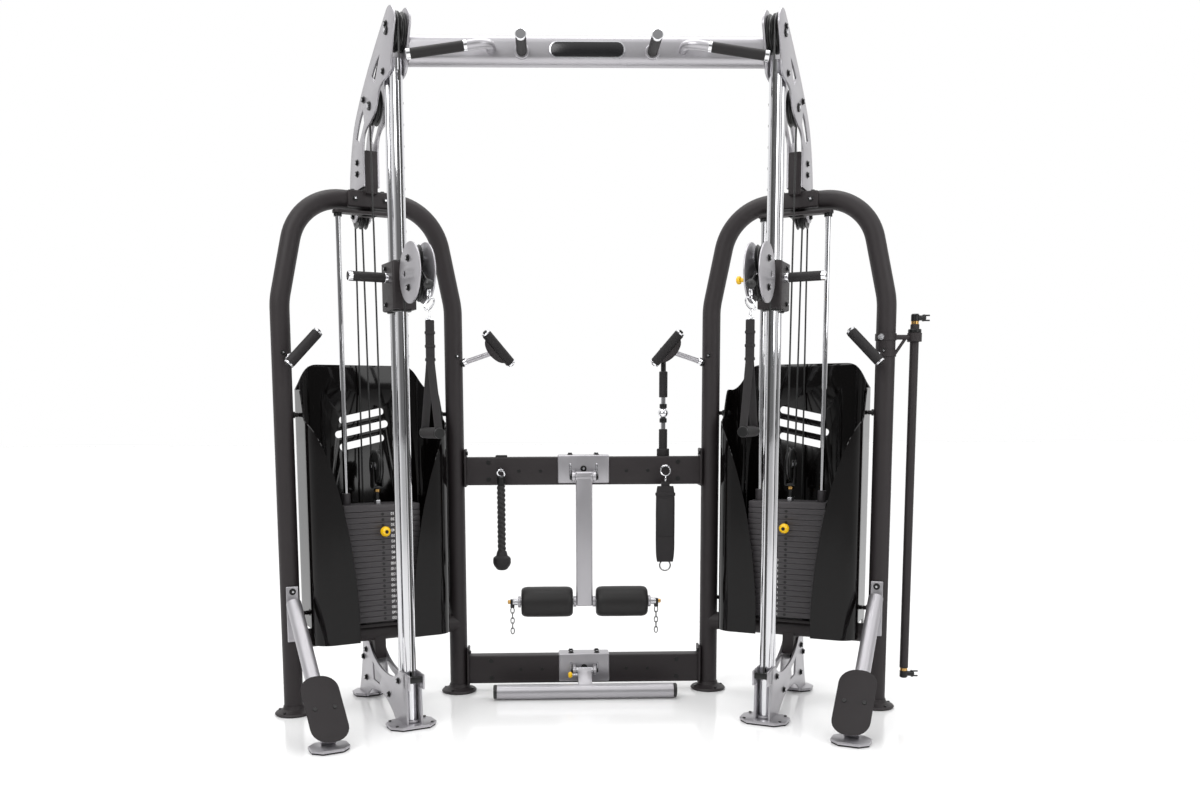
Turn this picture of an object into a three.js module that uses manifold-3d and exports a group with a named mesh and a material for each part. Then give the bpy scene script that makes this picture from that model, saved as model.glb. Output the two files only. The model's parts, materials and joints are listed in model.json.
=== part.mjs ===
// A cable crossover machine: two weight-stack towers joined by a pull-up beam and two crossbars.
// Millimetres, +Z up, the front faces -Y, the origin is under the middle of the machine on the floor.
import * as THREE from "three";
import { mergeVertices } from "three/addons/utils/BufferGeometryUtils.js";
import Module from "manifold-3d";

const wasm = await Module();
wasm.setup();

const DEGREE = Math.PI / 180;
const GAP = 0.3; // between pieces that touch
const RUN = 0.8; // round pieces that turn or slide on others
const SIDES = 12;
const SMALL_SIDES = 8;
const WHEEL_SIDES = 16;

// ---- driving dimensions ----------------------------------------------------------------------
const COLUMN_X = 566; // column axis from the middle of the machine
const PLAN_TURN = 26.5 * DEGREE; // each tower is turned this much in plan
const COLUMN_REACH = 322; // column axis in front of the arch's plane
const LEG_SPACING = 588; // between an arch's two leg axes
const ARCH_HEIGHT = 1676; // centreline of the arch's flat top
const LEG_STRAIGHT = ARCH_HEIGHT - 356; // height where the legs start to lean in
const LEG_LEAN = 12 * DEGREE;
const LEAN_BEND_R = 250;
const CORNER_BEND_R = 170;
const TUBE_R = 31;
const CROSS_TUBE_Z = 250;
const COLUMN_R = 19;
const COLUMN_TOP = ARCH_HEIGHT + 354;
const GUIDE_R = 14;
const GUIDE_BACK = 70; // guide tube axis behind the column axis
const GUIDE_BOTTOM = 137;
const GUIDE_TOP = COLUMN_TOP - 30;
const CHEEK_INNER = COLUMN_R + 1; // inner faces of the paired side plates, from the tower's middle plane
const CHEEK_WALL = 7;
const CABLE_R = 3;

const WHEEL_R = 57;
const SMALL_WHEEL_R = 40;
const WHEEL_WIDTH = 16;
const GROOVE_DEPTH = 7;
const CABLE_SINK = 1; // cable axis below a pulley's rim
const ANCHOR_Z = 162; // cable anchor at the column's foot
const REAR_ANCHOR_Z = 122; // cable anchor at the base's rear
const PIN_R = 6; // axle bolts
const TOP_AXLE = { y: -320, z: ARCH_HEIGHT + 432 };
const MID_AXLE = { y: -140, z: ARCH_HEIGHT + 262 };
const ARCH_AXLE = { y: TUBE_R + 35, z: ARCH_HEIGHT - TUBE_R - 7 }; // behind and under the arch's flat top

const STACK_Y = -30; // middle of the weight stack, in front of the arch's plane
const ROD_X = 106;
const ROD_R = 8.5;
const PLATE_WIDTH = 260;
const PLATE_DEPTH = 108;
const PLATE_PITCH = 18.5;
const PLATE_COUNT = 20;
const LIFTED_COUNT = 4; // plates above the selector pin, which rise with the head plate
const STACK_BOTTOM = 297;
const HEAD_THICKNESS = 22;
const FLOAT_AXLE_Z = 812;

const SHROUD_HALF = 239;
const SHROUD_BACK = 128;
const SHROUD_FRONT = -108;
const SHROUD_WALL = 4;
const SHROUD_TOP = 1153;
const SHROUD_SHOULDER = 1065;
const SHROUD_BOTTOM = 236;
const WING_TOP = 970;

const CARRIAGE_BOTTOM = 1295;
const CARRIAGE_TOP = 1447;
const CARRIAGE_HALF = 37;
const HEAD_Z = 1394; // swivel axis of the pulley head
const DISC_R = 88;
const DISC_FRONT = 148; // disc centre in front of the column axis
const DISC_WALL = 5;
const HEAD_PULLEY_RISE = 42;

const BAR_DEPTH = 50;
const UPPER_BAR = { z: 787, height: 97 };
const LOWER_BAR = { z: 82, height: 100 };
const BEAM = { z: ARCH_HEIGHT + 377, height: 88, depth: 52 };
const PEG_X = 193;
const PEG_LENGTH = 150;
const PIN_REACH = { right: 75, left: 40 }; // how far each carriage's pull knob stands out
const BALL = { y: -562, z: 1352, r: 15 };
const STRAP_TOP = 1254;
const STRAP_SPLIT = 1134;
const GRIP_Z = 932;
const GRIP_HALF = 58;
const STEP_FOOT_Y = -436;
const STEP_RISE = 45; // footplate above the strut's axis
const GRIP_ROOT_Z = 1148;
const GRIP_SLANT = 43 * DEGREE;

const ARM = { y: 348, pivotZ: 768, axleZ: 334 }; // leg arm
const ROLLER = { r: 53, length: 180, x: 130 };
const FOOT = { y: 290, z: 29, r: 25, half: 318, pivotY: 352, pivotZ: 86 }; // foot bar
const ROPE = { x: -286, y: 362, r: 14, hookZ: 792, heights: [740, 664, 588, 512] };
const STRAP_X = 283;
const STRAP_HOOK_Z = 796;
const LONG_BAR = { x: COLUMN_X + 501, y: 158, r: 14, low: 112, high: 1288, holderZ: 1226 };

const FLANGE_R = 62;
const FLANGE_HEIGHT = 14;

// ---- places worked out from them -------------------------------------------------------------
const COLUMN_Y = -COLUMN_REACH;
const GUIDE_Y = COLUMN_Y + GUIDE_BACK;
const LEG_X = LEG_SPACING / 2;
const CHEEK_OUTER = CHEEK_INNER + CHEEK_WALL;
const TOWER_X = COLUMN_X + COLUMN_REACH * Math.sin(PLAN_TURN);
const TOWER_Y = COLUMN_REACH * Math.cos(PLAN_TURN);
const INNER_LEG_X = TOWER_X - LEG_X * Math.cos(PLAN_TURN);
const INNER_LEG_Y = TOWER_Y + LEG_X * Math.sin(PLAN_TURN);
const PAIR_X = WHEEL_WIDTH / 2 + 0.8; // grooves of two wheels side by side
const CABLE_Y = TOP_AXLE.y - WHEEL_R + CABLE_SINK;
const SPLIT_Z = STACK_BOTTOM + (PLATE_COUNT - LIFTED_COUNT) * PLATE_PITCH;
const PIN_Z = SPLIT_Z + PLATE_PITCH / 2;
const STACK_TOP = STACK_BOTTOM + PLATE_COUNT * PLATE_PITCH;
const HEAD_TOP = STACK_TOP + HEAD_THICKNESS;
const DISC_Y = COLUMN_Y - DISC_FRONT;
const REAR_CABLE_Y = ARCH_AXLE.y + SMALL_WHEEL_R - CABLE_SINK;
const CURL = { x: 282, y: INNER_LEG_Y + 15, r: 15, ballZ: 985, gripTop: 1130, forkZ: 1192 };
const CABLE_JOINT = { x: 6, z: ARCH_HEIGHT - 76 }; // where the column's cable hands over to the stack's

// ---- materials -------------------------------------------------------------------------------
const material = (color, roughness, metalness) =>
  new THREE.MeshStandardMaterial({ color, roughness, metalness });
const blackPaint = () => material(0x2d282a, 0.75, 0.2);
const silverPaint = () => material(0xb4b4ba, 0.35, 0.8);
const chrome = () => material(0xd8d8dc, 0.08, 1);
const glossBlack = () => material(0x060606, 0.1, 0);
const rubber = () => material(0x171515, 0.85, 0);
const nylon = () => material(0x141414, 0.5, 0);
const ironGrey = () => material(0x434043, 0.6, 0.5);
const yellow = () => material(0xf0b400, 0.35, 0);
const webbing = () => material(0x1c1a1b, 0.95, 0);

// ---- shapes ----------------------------------------------------------------------------------
const point = (x, y, z) => new THREE.Vector3(x, y, z);

const box = (x0, x1, y0, y1, z0, z1) =>
  new THREE.BoxGeometry(x1 - x0, y1 - y0, z1 - z0).translate((x0 + x1) / 2, (y0 + y1) / 2, (z0 + z1) / 2);

// A cylinder along X, Y or Z that runs from low to high.
function rod(axis, radius, low, high, a, b, sides = SIDES) {
  const shape = new THREE.CylinderGeometry(radius, radius, high - low, sides);
  const middle = (low + high) / 2;
  if (axis === "x") return shape.rotateZ(Math.PI / 2).translate(middle, a, b);
  if (axis === "y") return shape.translate(a, middle, b);
  return shape.rotateX(Math.PI / 2).translate(a, b, middle);
}

// A straight rod between two points.
function strut(from, to, radius, sides = SIDES) {
  const along = to.clone().sub(from);
  const turn = new THREE.Quaternion().setFromUnitVectors(point(0, 1, 0), along.clone().normalize());
  const middle = from.clone().add(to).multiplyScalar(0.5);
  return new THREE.CylinderGeometry(radius, radius, along.length(), sides)
    .applyQuaternion(turn)
    .translate(middle.x, middle.y, middle.z);
}

// A solid of revolution about Z from [radius, height] pairs that start and end on the axis.
const turned = (profile, sides = SIDES) =>
  new THREE.LatheGeometry(profile.map(([r, z]) => new THREE.Vector2(r, z)), sides).rotateX(Math.PI / 2);

const outline = (points) => new THREE.Shape(points.map(([a, b]) => new THREE.Vector2(a, b)));

// A flat outline given in (y, z), as thick as x0 to x1.
function plateX(shape, x0, x1) {
  const solid = new THREE.ExtrudeGeometry(shape, { depth: x1 - x0, bevelEnabled: false, curveSegments: 3 });
  return solid.rotateX(Math.PI / 2).rotateZ(Math.PI / 2).translate(x0, 0, 0);
}

// A flat outline given in (x, z), from y0 to y1.
function plateY(shape, y0, y1) {
  const solid = new THREE.ExtrudeGeometry(shape, { depth: y1 - y0, bevelEnabled: false, curveSegments: 3 });
  return solid.rotateX(Math.PI / 2).translate(0, y1, 0);
}

// A flat outline given in (x, y), from z0 to z1.
function plateZ(shape, z0, z1) {
  const solid = new THREE.ExtrudeGeometry(shape, { depth: z1 - z0, bevelEnabled: false, curveSegments: 3 });
  return solid.translate(0, 0, z0);
}

function roundedRect(width, height, radius) {
  const [w, h, r] = [width / 2, height / 2, radius];
  const shape = new THREE.Shape();
  shape.absarc(w - r, h - r, r, 0, Math.PI / 2);
  shape.absarc(r - w, h - r, r, Math.PI / 2, Math.PI);
  shape.absarc(r - w, r - h, r, Math.PI, 1.5 * Math.PI);
  shape.absarc(w - r, r - h, r, 1.5 * Math.PI, 2 * Math.PI);
  return shape;
}

// A path whose sections stand exactly at the given points, so straight runs need only their ends.
class Stations extends THREE.Curve {
  constructor(points) {
    super();
    this.points = points;
  }
  getPointAt(u) {
    return this.points[Math.round(u * (this.points.length - 1))].clone();
  }
  getPoint(u) {
    return this.getPointAt(u);
  }
  getTangentAt(u) {
    const last = this.points.length - 1;
    const i = Math.round(u * last);
    const here = this.points[i];
    const before = i > 0 ? here.clone().sub(this.points[i - 1]).normalize() : point(0, 0, 0);
    const after = i < last ? this.points[i + 1].clone().sub(here).normalize() : point(0, 0, 0);
    return before.add(after).normalize();
  }
}

// A round tube, solid, along a list of points.
function tube(points, radius, sides = SIDES) {
  const ring = [...Array(sides).keys()].map((i) => {
    const angle = ((i + 0.5) * 2 * Math.PI) / sides;
    return [radius * Math.cos(angle), radius * Math.sin(angle)];
  });
  const along = { steps: points.length - 1, extrudePath: new Stations(points) };
  return new THREE.ExtrudeGeometry(outline(ring), along);
}

// Points of an arc in a (a, b) plane round a centre, both ends included.
const arc = (ca, cb, radius, from, to, steps) =>
  [...Array(steps + 1).keys()].map((i) => {
    const angle = from + ((to - from) * i) / steps;
    return [ca + radius * Math.cos(angle), cb + radius * Math.sin(angle)];
  });

// ---- joins and cuts --------------------------------------------------------------------------
function manifold(geometry) {
  const bare = geometry.clone();
  bare.deleteAttribute("normal");
  bare.deleteAttribute("uv");
  const merged = mergeVertices(bare, 1e-4);
  return new wasm.Manifold(
    new wasm.Mesh({
      numProp: 3,
      vertProperties: merged.attributes.position.array,
      triVerts: new Uint32Array(merged.index.array),
    })
  );
}

function geometryOf(body) {
  const result = body.getMesh();
  const geometry = new THREE.BufferGeometry();
  geometry.setAttribute("position", new THREE.BufferAttribute(result.vertProperties, 3));
  geometry.setIndex(new THREE.BufferAttribute(result.triVerts, 1));
  geometry.computeVertexNormals();
  return geometry;
}

const join = (...pieces) => geometryOf(pieces.map(manifold).reduce((all, piece) => all.add(piece)));
const cut = (body, ...tools) =>
  geometryOf(tools.map(manifold).reduce((rest, tool) => rest.subtract(tool), manifold(body)));
const common = (a, b) => geometryOf(manifold(a).intersect(manifold(b)));

function mesh(name, geometry, look) {
  const piece = new THREE.Mesh(geometry, look);
  piece.name = name;
  return piece;
}

// ---- pulleys ---------------------------------------------------------------------------------
// A grooved wheel on the X axis, bored for its axle bolt.
function wheel(radius, middleX, axle, bore = PIN_R + RUN) {
  const half = WHEEL_WIDTH / 2;
  const profile = [
    [bore, -half], [radius, -half], [radius - GROOVE_DEPTH, 0], [radius, half], [bore, half], [bore, -half],
  ];
  return turned(profile, WHEEL_SIDES).rotateY(Math.PI / 2).translate(middleX, axle.y, axle.z);
}

const axleBolt = (axle, low, high, radius = PIN_R) =>
  rod("x", radius, low, high, axle.y, axle.z, SMALL_SIDES);

// Two wheels side by side with a narrow collar between them.
function wheelPair(radius, axle) {
  const collar = cut(
    rod("x", PIN_R + 6, -2, 2, axle.y, axle.z),
    rod("x", PIN_R + RUN, -3, 3, axle.y, axle.z)
  );
  return join(wheel(radius, -PAIR_X, axle), wheel(radius, PAIR_X, axle), collar);
}

// ---- tower frame -----------------------------------------------------------------------------
// Half of the arch's centreline, from a foot up to the end of the corner bend, as [x, z] pairs.
function halfArch() {
  const bendX = LEG_X - LEAN_BEND_R;
  const lean = arc(bendX, LEG_STRAIGHT, LEAN_BEND_R, 0, LEG_LEAN, 2);
  const cornerZ = ARCH_HEIGHT - CORNER_BEND_R;
  const cornerStartZ = cornerZ + CORNER_BEND_R * Math.sin(LEG_LEAN);
  const [leanX, leanZ] = lean[lean.length - 1];
  const cornerStartX = leanX - (cornerStartZ - leanZ) * Math.tan(LEG_LEAN);
  const cornerX = cornerStartX - CORNER_BEND_R * Math.cos(LEG_LEAN);
  const corner = arc(cornerX, cornerZ, CORNER_BEND_R, LEG_LEAN, Math.PI / 2, 6);
  return [[LEG_X, FLANGE_HEIGHT / 2], ...lean, ...corner];
}

// The whole arch as a solid of the given radius.
function archTube(radius) {
  const half = halfArch();
  const whole = [...half, ...half.map(([x, z]) => [-x, z]).reverse()];
  return tube(whole.map(([x, z]) => point(x, 0, z)), radius);
}

// How far a leg's axis is from the tower's middle plane at a height below the corner bend.
const legAxis = (z) => LEG_X - Math.max(0, z - LEG_STRAIGHT) * Math.tan(LEG_LEAN);

const footFlange = (x, y) =>
  turned([[0, 0], [FLANGE_R, 0], [FLANGE_R, 8], [TUBE_R + 3, 22], [0, 22]], SIDES).translate(x, y, 0);

// The bent arch with its cross tube, the rail that the rods stand on and the saddle with its post.
function archFrame(barHolder) {
  const rodRail = box(-ROD_X - 30, ROD_X + 30, STACK_Y - 22, 8, CROSS_TUBE_Z + 24, STACK_BOTTOM - 12);
  const bumpers = [-60, 60].map((x) =>
    rod("z", 12, CROSS_TUBE_Z + 26, STACK_BOTTOM - GAP, x, STACK_Y, SMALL_SIDES)
  );
  const baseTab = box(-CHEEK_INNER + GAP, CHEEK_INNER - GAP, -26, 92, 158, CROSS_TUBE_Z - 10);
  const saddle = cut(
    box(-73, 73, -40, 40, ARCH_HEIGHT - 26, ARCH_HEIGHT + 27),
    box(-CHEEK_INNER, CHEEK_INNER, 23, 41, ARCH_HEIGHT - 27, ARCH_HEIGHT + 10)
  );
  const pulleyEars = [-23, 23].map((x) =>
    box(x - 3, x + 3, TUBE_R - 1, ARCH_AXLE.y + 26, ARCH_AXLE.z - 20, ARCH_HEIGHT + 24)
  );
  const post = box(-CHEEK_INNER + GAP, CHEEK_INNER - GAP, -62, 84, ARCH_HEIGHT + 12, ARCH_HEIGHT + 148);
  const standOffs = [330, 985].flatMap((z) => [
    rod("x", 7, SHROUD_HALF + 1, LEG_X, 26, z, SMALL_SIDES),
    rod("x", 7, -LEG_X, -SHROUD_HALF - 1, 26, z, SMALL_SIDES),
  ]);
  return join(
    archTube(TUBE_R),
    rod("x", TUBE_R, -LEG_X, LEG_X, 0, CROSS_TUBE_Z),
    footFlange(-LEG_X, 0),
    footFlange(LEG_X, 0),
    rodRail,
    ...bumpers,
    baseTab,
    saddle,
    post,
    ...pulleyEars,
    axleBolt(ARCH_AXLE, -23, 23),
    ...standOffs,
    ...barHolder
  );
}

// Outline of a top side plate in (y, height above the arch), widest at the post and narrow at its nose.
function topPlateOutline() {
  const shape = new THREE.Shape();
  const foot = 36;
  const nose = { y: TOP_AXLE.y - 22, z: TOP_AXLE.z - ARCH_HEIGHT + 16, r: 46 };
  shape.moveTo(-58, foot);
  shape.lineTo(-58, 150);
  shape.quadraticCurveTo(-60, 196, -112, 208);
  shape.quadraticCurveTo(-182, 220, -206, 252);
  shape.quadraticCurveTo(-226, 300, -290, 302);
  shape.quadraticCurveTo(-352, 304, -352, 336);
  shape.quadraticCurveTo(-352, 364, nose.y - nose.r, nose.z - 6);
  shape.absarc(nose.y, nose.z, nose.r, Math.PI, 0.3 * Math.PI, true);
  shape.quadraticCurveTo(-50, 334, 30, 234);
  shape.quadraticCurveTo(82, 154, 98, foot);
  return shape;
}

const topSlots = [
  [[-256, 388], [-166, 346], [-196, 312]],
  [[-72, 268], [12, 196], [-22, 174], [-84, 226]],
];

// The outer plate carries the axle bolts of the top and middle pulleys; the inner one is bored for them.
function topPlate(side) {
  const [low, high] = side > 0 ? [CHEEK_INNER, CHEEK_OUTER] : [-CHEEK_OUTER, -CHEEK_INNER];
  const slots = topSlots.map((slot) => plateX(outline(slot), low - 1, high + 1));
  const plate = cut(plateX(topPlateOutline(), low, high), ...slots).translate(0, 0, ARCH_HEIGHT);
  const bores = [TOP_AXLE, MID_AXLE].map((axle) => axleBolt(axle, low - 1, high + 1, PIN_R + RUN));
  if (side < 0) return cut(plate, ...bores);
  const bolts = [TOP_AXLE, MID_AXLE].map((axle) => axleBolt(axle, -CHEEK_OUTER - 8, CHEEK_OUTER + 8));
  return join(plate, ...bolts);
}

// ---- column and its base ---------------------------------------------------------------------
function basePlateOutline() {
  const shape = new THREE.Shape();
  shape.moveTo(92, 210);
  shape.lineTo(20, 210);
  shape.quadraticCurveTo(-40, 140, -190, 140);
  shape.quadraticCurveTo(-262, 142, -300, 178);
  shape.lineTo(COLUMN_Y - COLUMN_R - 12, 178);
  shape.lineTo(COLUMN_Y - COLUMN_R - 22, FLANGE_HEIGHT / 2);
  shape.lineTo(-248, FLANGE_HEIGHT / 2);
  shape.quadraticCurveTo(-160, 72, -60, 60);
  shape.quadraticCurveTo(30, 50, 62, FLANGE_HEIGHT / 2);
  shape.lineTo(150, FLANGE_HEIGHT / 2);
  return shape;
}

const octagon = (width, depth, x, y) => {
  const [w, d, c] = [width / 2, depth / 2, Math.min(width, depth) * 0.28];
  const half = [[w, c - d], [w, d - c], [w - c, d], [c - w, d]];
  const corners = [...half, ...half.map(([a, b]) => [-a, -b])];
  return outline(corners.map(([a, b]) => [a + x, b + y]));
};

function columnBase() {
  const window = outline([[-14, 150], [-110, 118], [-84, 84], [-20, 88]]);
  const cheeks = [[CHEEK_INNER, CHEEK_OUTER], [-CHEEK_OUTER, -CHEEK_INNER]].map(([low, high]) =>
    cut(plateX(basePlateOutline(), low, high), plateX(window, low - 1, high + 1))
  );
  const cableAnchor = (y, z) =>
    cut(
      box(-CHEEK_INNER - 1, CHEEK_INNER + 1, y - 7, y + 7, z - 10, z + 10),
      rod("z", CABLE_R + GAP, z - 12, z + 12, PAIR_X, y, SMALL_SIDES)
    );
  const ears = [-CHEEK_OUTER, CHEEK_INNER].map((x) =>
    box(x, x + CHEEK_WALL, CABLE_Y - 7, COLUMN_Y, 130, 177)
  );
  return join(
    plateZ(octagon(152, 112, 0, COLUMN_Y), 0, FLANGE_HEIGHT),
    plateZ(octagon(110, 92, 0, 122), 0, FLANGE_HEIGHT),
    ...cheeks,
    ...ears,
    cableAnchor(CABLE_Y, ANCHOR_Z),
    cableAnchor(REAR_CABLE_Y, REAR_ANCHOR_Z)
  );
}

// ---- weight stack ----------------------------------------------------------------------------
function guideRods() {
  const top = ARCH_HEIGHT - TUBE_R - 9;
  const bridge = box(-ROD_X - 16, ROD_X + 16, STACK_Y - 22, 18, top - 9, top);
  const rods = [-1, 1].map((side) =>
    rod("z", ROD_R, STACK_BOTTOM - 12 + GAP, top - 2, side * ROD_X, STACK_Y, SMALL_SIDES)
  );
  return join(bridge, ...rods);
}

const rodHoles = (low, high) =>
  [-1, 1].map((side) => rod("z", ROD_R + RUN, low, high, side * ROD_X, STACK_Y, SMALL_SIDES));

const plateBlock = (low, high) =>
  box(-PLATE_WIDTH / 2, PLATE_WIDTH / 2, STACK_Y - PLATE_DEPTH / 2, STACK_Y + PLATE_DEPTH / 2, low, high);

// The resting plates, one grooved block bored for the rods.
function weightPlates() {
  const front = STACK_Y - PLATE_DEPTH / 2;
  const grooves = [4, 8, 12].map((plates) => {
    const z = STACK_BOTTOM + plates * PLATE_PITCH;
    return box(-PLATE_WIDTH, PLATE_WIDTH, front - 5, front + 2, z - 0.8, z + 0.8);
  });
  return cut(plateBlock(STACK_BOTTOM, SPLIT_Z - GAP), ...rodHoles(STACK_BOTTOM - 5, SPLIT_Z + 5), ...grooves);
}

// The lifted plates and head plate with their rod sleeves, the stem and the fork of the floating pulley.
function headPlate() {
  const fork = cut(
    box(-18, 18, STACK_Y - 26, STACK_Y + 26, FLOAT_AXLE_Z - 72, FLOAT_AXLE_Z + 16),
    box(-11, 11, STACK_Y - 30, STACK_Y + 30, FLOAT_AXLE_Z - 64, FLOAT_AXLE_Z + 30)
  );
  const sleeves = [-1, 1].map((side) =>
    rod("z", ROD_R + 6, HEAD_TOP - 5, HEAD_TOP + 38, side * ROD_X, STACK_Y, SMALL_SIDES)
  );
  const front = STACK_Y - PLATE_DEPTH / 2;
  return cut(
    join(
      plateBlock(SPLIT_Z, HEAD_TOP),
      ...sleeves,
      rod("z", 8, HEAD_TOP - 5, FLOAT_AXLE_Z - 66, 0, STACK_Y, SMALL_SIDES),
      fork,
      rod("x", PIN_R, -16, 16, STACK_Y, FLOAT_AXLE_Z, SMALL_SIDES)
    ),
    ...rodHoles(SPLIT_Z - 5, HEAD_TOP + 50),
    rod("y", 5.5, front - 5, front + 60, 0, PIN_Z, SMALL_SIDES)
  );
}

function selectorPin() {
  const front = STACK_Y - PLATE_DEPTH / 2;
  return join(
    rod("y", 4.7, front - 20, front + 55, 0, PIN_Z, SMALL_SIDES),
    new THREE.SphereGeometry(17, 10, 6).translate(0, front - 24, PIN_Z)
  );
}

// A shell round the stack: a tall back, bent sides and two wings that sweep in towards the plates.
function shroud() {
  const depth = SHROUD_BACK - SHROUD_FRONT;
  const middleY = (SHROUD_BACK + SHROUD_FRONT) / 2;
  const ring = roundedRect(2 * SHROUD_HALF, depth, 60);
  ring.holes.push(roundedRect(2 * (SHROUD_HALF - SHROUD_WALL), depth - 2 * SHROUD_WALL, 60 - SHROUD_WALL));
  const tall = plateZ(ring, SHROUD_BOTTOM, SHROUD_TOP).translate(0, middleY, 0);

  const face = new THREE.Shape();
  face.moveTo(-SHROUD_HALF - 1, SHROUD_BOTTOM - 1);
  face.lineTo(SHROUD_HALF + 1, SHROUD_BOTTOM - 1);
  face.lineTo(SHROUD_HALF + 1, SHROUD_SHOULDER);
  face.bezierCurveTo(205, SHROUD_SHOULDER + 20, 205, SHROUD_TOP, 150, SHROUD_TOP + 1);
  face.lineTo(-150, SHROUD_TOP + 1);
  face.bezierCurveTo(-205, SHROUD_TOP, -205, SHROUD_SHOULDER + 20, -SHROUD_HALF - 1, SHROUD_SHOULDER);
  const shaped = common(tall, plateY(face, SHROUD_FRONT - 5, SHROUD_BACK + 5));

  const mouth = new THREE.Shape();
  mouth.moveTo(-90, SHROUD_BOTTOM - 5);
  mouth.lineTo(90, SHROUD_BOTTOM - 5);
  mouth.bezierCurveTo(92, 520, 150, 830, SHROUD_HALF + 5, WING_TOP);
  mouth.lineTo(SHROUD_HALF + 5, SHROUD_TOP + 5);
  mouth.lineTo(-SHROUD_HALF - 5, SHROUD_TOP + 5);
  mouth.lineTo(-SHROUD_HALF - 5, WING_TOP);
  mouth.bezierCurveTo(-150, 830, -92, 520, -90, SHROUD_BOTTOM - 5);

  const underBack = box(-SHROUD_HALF + 24, SHROUD_HALF - 24, 20, SHROUD_BACK + 5, SHROUD_BOTTOM - 5, 306);
  const way = TUBE_R + 6;
  const wide = SHROUD_HALF + 5;
  const crossTubeWay = box(-wide, wide, -way, way, SHROUD_BOTTOM - 5, CROSS_TUBE_Z + way);
  const slots = [-1, 0, 1].map((row) =>
    plateY(roundedRect(190 - 30 * Math.abs(row), 24, 11), SHROUD_BACK - 20, SHROUD_BACK + 5)
      .rotateY(12 * DEGREE)
      .translate(0, 0, 935 + 46 * row)
  );
  return cut(shaped, plateY(mouth, SHROUD_FRONT - 5, 20), underBack, crossTubeWay, ...slots);
}

// ---- cables ----------------------------------------------------------------------------------
const groove = (radius) => radius - CABLE_SINK;

// From the anchor on the base, up the column, over the top and middle pulleys and down to the arch.
function columnCable() {
  const r = groove(WHEEL_R);
  const leave = Math.atan2(MID_AXLE.z - TOP_AXLE.z, MID_AXLE.y - TOP_AXLE.y) + Math.PI / 2;
  const wrap = [
    [TOP_AXLE.y - r, ANCHOR_Z - 8],
    ...arc(TOP_AXLE.y, TOP_AXLE.z, r, Math.PI, leave, 8),
    ...arc(MID_AXLE.y, MID_AXLE.z, r, leave, 0, 4),
  ];
  const end = point(CABLE_JOINT.x, MID_AXLE.y + r, CABLE_JOINT.z);
  return tube([...wrap.map(([y, z]) => point(PAIR_X, y, z)), end], CABLE_R, SMALL_SIDES);
}

// Down to the floating pulley, round it, up over the arch pulley and down behind the stack.
function stackCable() {
  const start = point(CABLE_JOINT.x, STACK_Y - groove(WHEEL_R), CABLE_JOINT.z - GAP);
  const bottom = arc(STACK_Y, FLOAT_AXLE_Z, groove(WHEEL_R), Math.PI, 2 * Math.PI, 8);
  const top = arc(ARCH_AXLE.y, ARCH_AXLE.z, groove(SMALL_WHEEL_R), Math.PI, 0, 8);
  const end = point(PAIR_X, REAR_CABLE_Y, REAR_ANCHOR_Z - 8);
  return tube(
    [start, ...bottom.map(([y, z]) => point(0, y, z)), ...top.map(([y, z]) => point(PAIR_X, y, z)), end],
    CABLE_R,
    SMALL_SIDES
  );
}

// ---- carriage and pulley head ----------------------------------------------------------------
function carriage() {
  const front = COLUMN_Y - CARRIAGE_HALF + 1;
  const body = plateZ(
    outline([
      [CARRIAGE_HALF, front], [CARRIAGE_HALF, GUIDE_Y], [24, GUIDE_Y + 26],
      [-24, GUIDE_Y + 26], [-CARRIAGE_HALF, GUIDE_Y], [-CARRIAGE_HALF, front],
    ]),
    CARRIAGE_BOTTOM,
    CARRIAGE_TOP
  );
  const boss = rod("y", 16, DISC_Y + DISC_R - 2, front + 4, 0, HEAD_Z);
  const handle = rod("x", 15, CARRIAGE_HALF - 3, CARRIAGE_HALF + 128, COLUMN_Y, HEAD_Z, SMALL_SIDES);
  return cut(
    join(body, boss, handle),
    rod("z", COLUMN_R + RUN, CARRIAGE_BOTTOM - 5, CARRIAGE_TOP + 5, 0, COLUMN_Y, SIDES),
    rod("z", GUIDE_R + RUN, CARRIAGE_BOTTOM - 5, CARRIAGE_TOP + 5, 0, GUIDE_Y, SIDES),
    box(PAIR_X - 4.5, PAIR_X + 12, CABLE_Y - 5.5, CABLE_Y + 5.5, HEAD_Z - 30, HEAD_Z + 30),
    rod("x", 5.5, -CARRIAGE_HALF - 5, -CARRIAGE_HALF + 14, COLUMN_Y, HEAD_Z, SMALL_SIDES)
  );
}

function carriagePin(reach) {
  const end = -CARRIAGE_HALF - reach;
  return join(
    rod("x", 4.7, end + 10, -CARRIAGE_HALF + 12, COLUMN_Y, HEAD_Z, SMALL_SIDES),
    rod("x", 13, end, end + 16, COLUMN_Y, HEAD_Z, SMALL_SIDES)
  );
}

const headAxles = [-1, 1].map((side) => ({ y: DISC_Y + 8, z: HEAD_Z + side * HEAD_PULLEY_RISE }));

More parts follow.
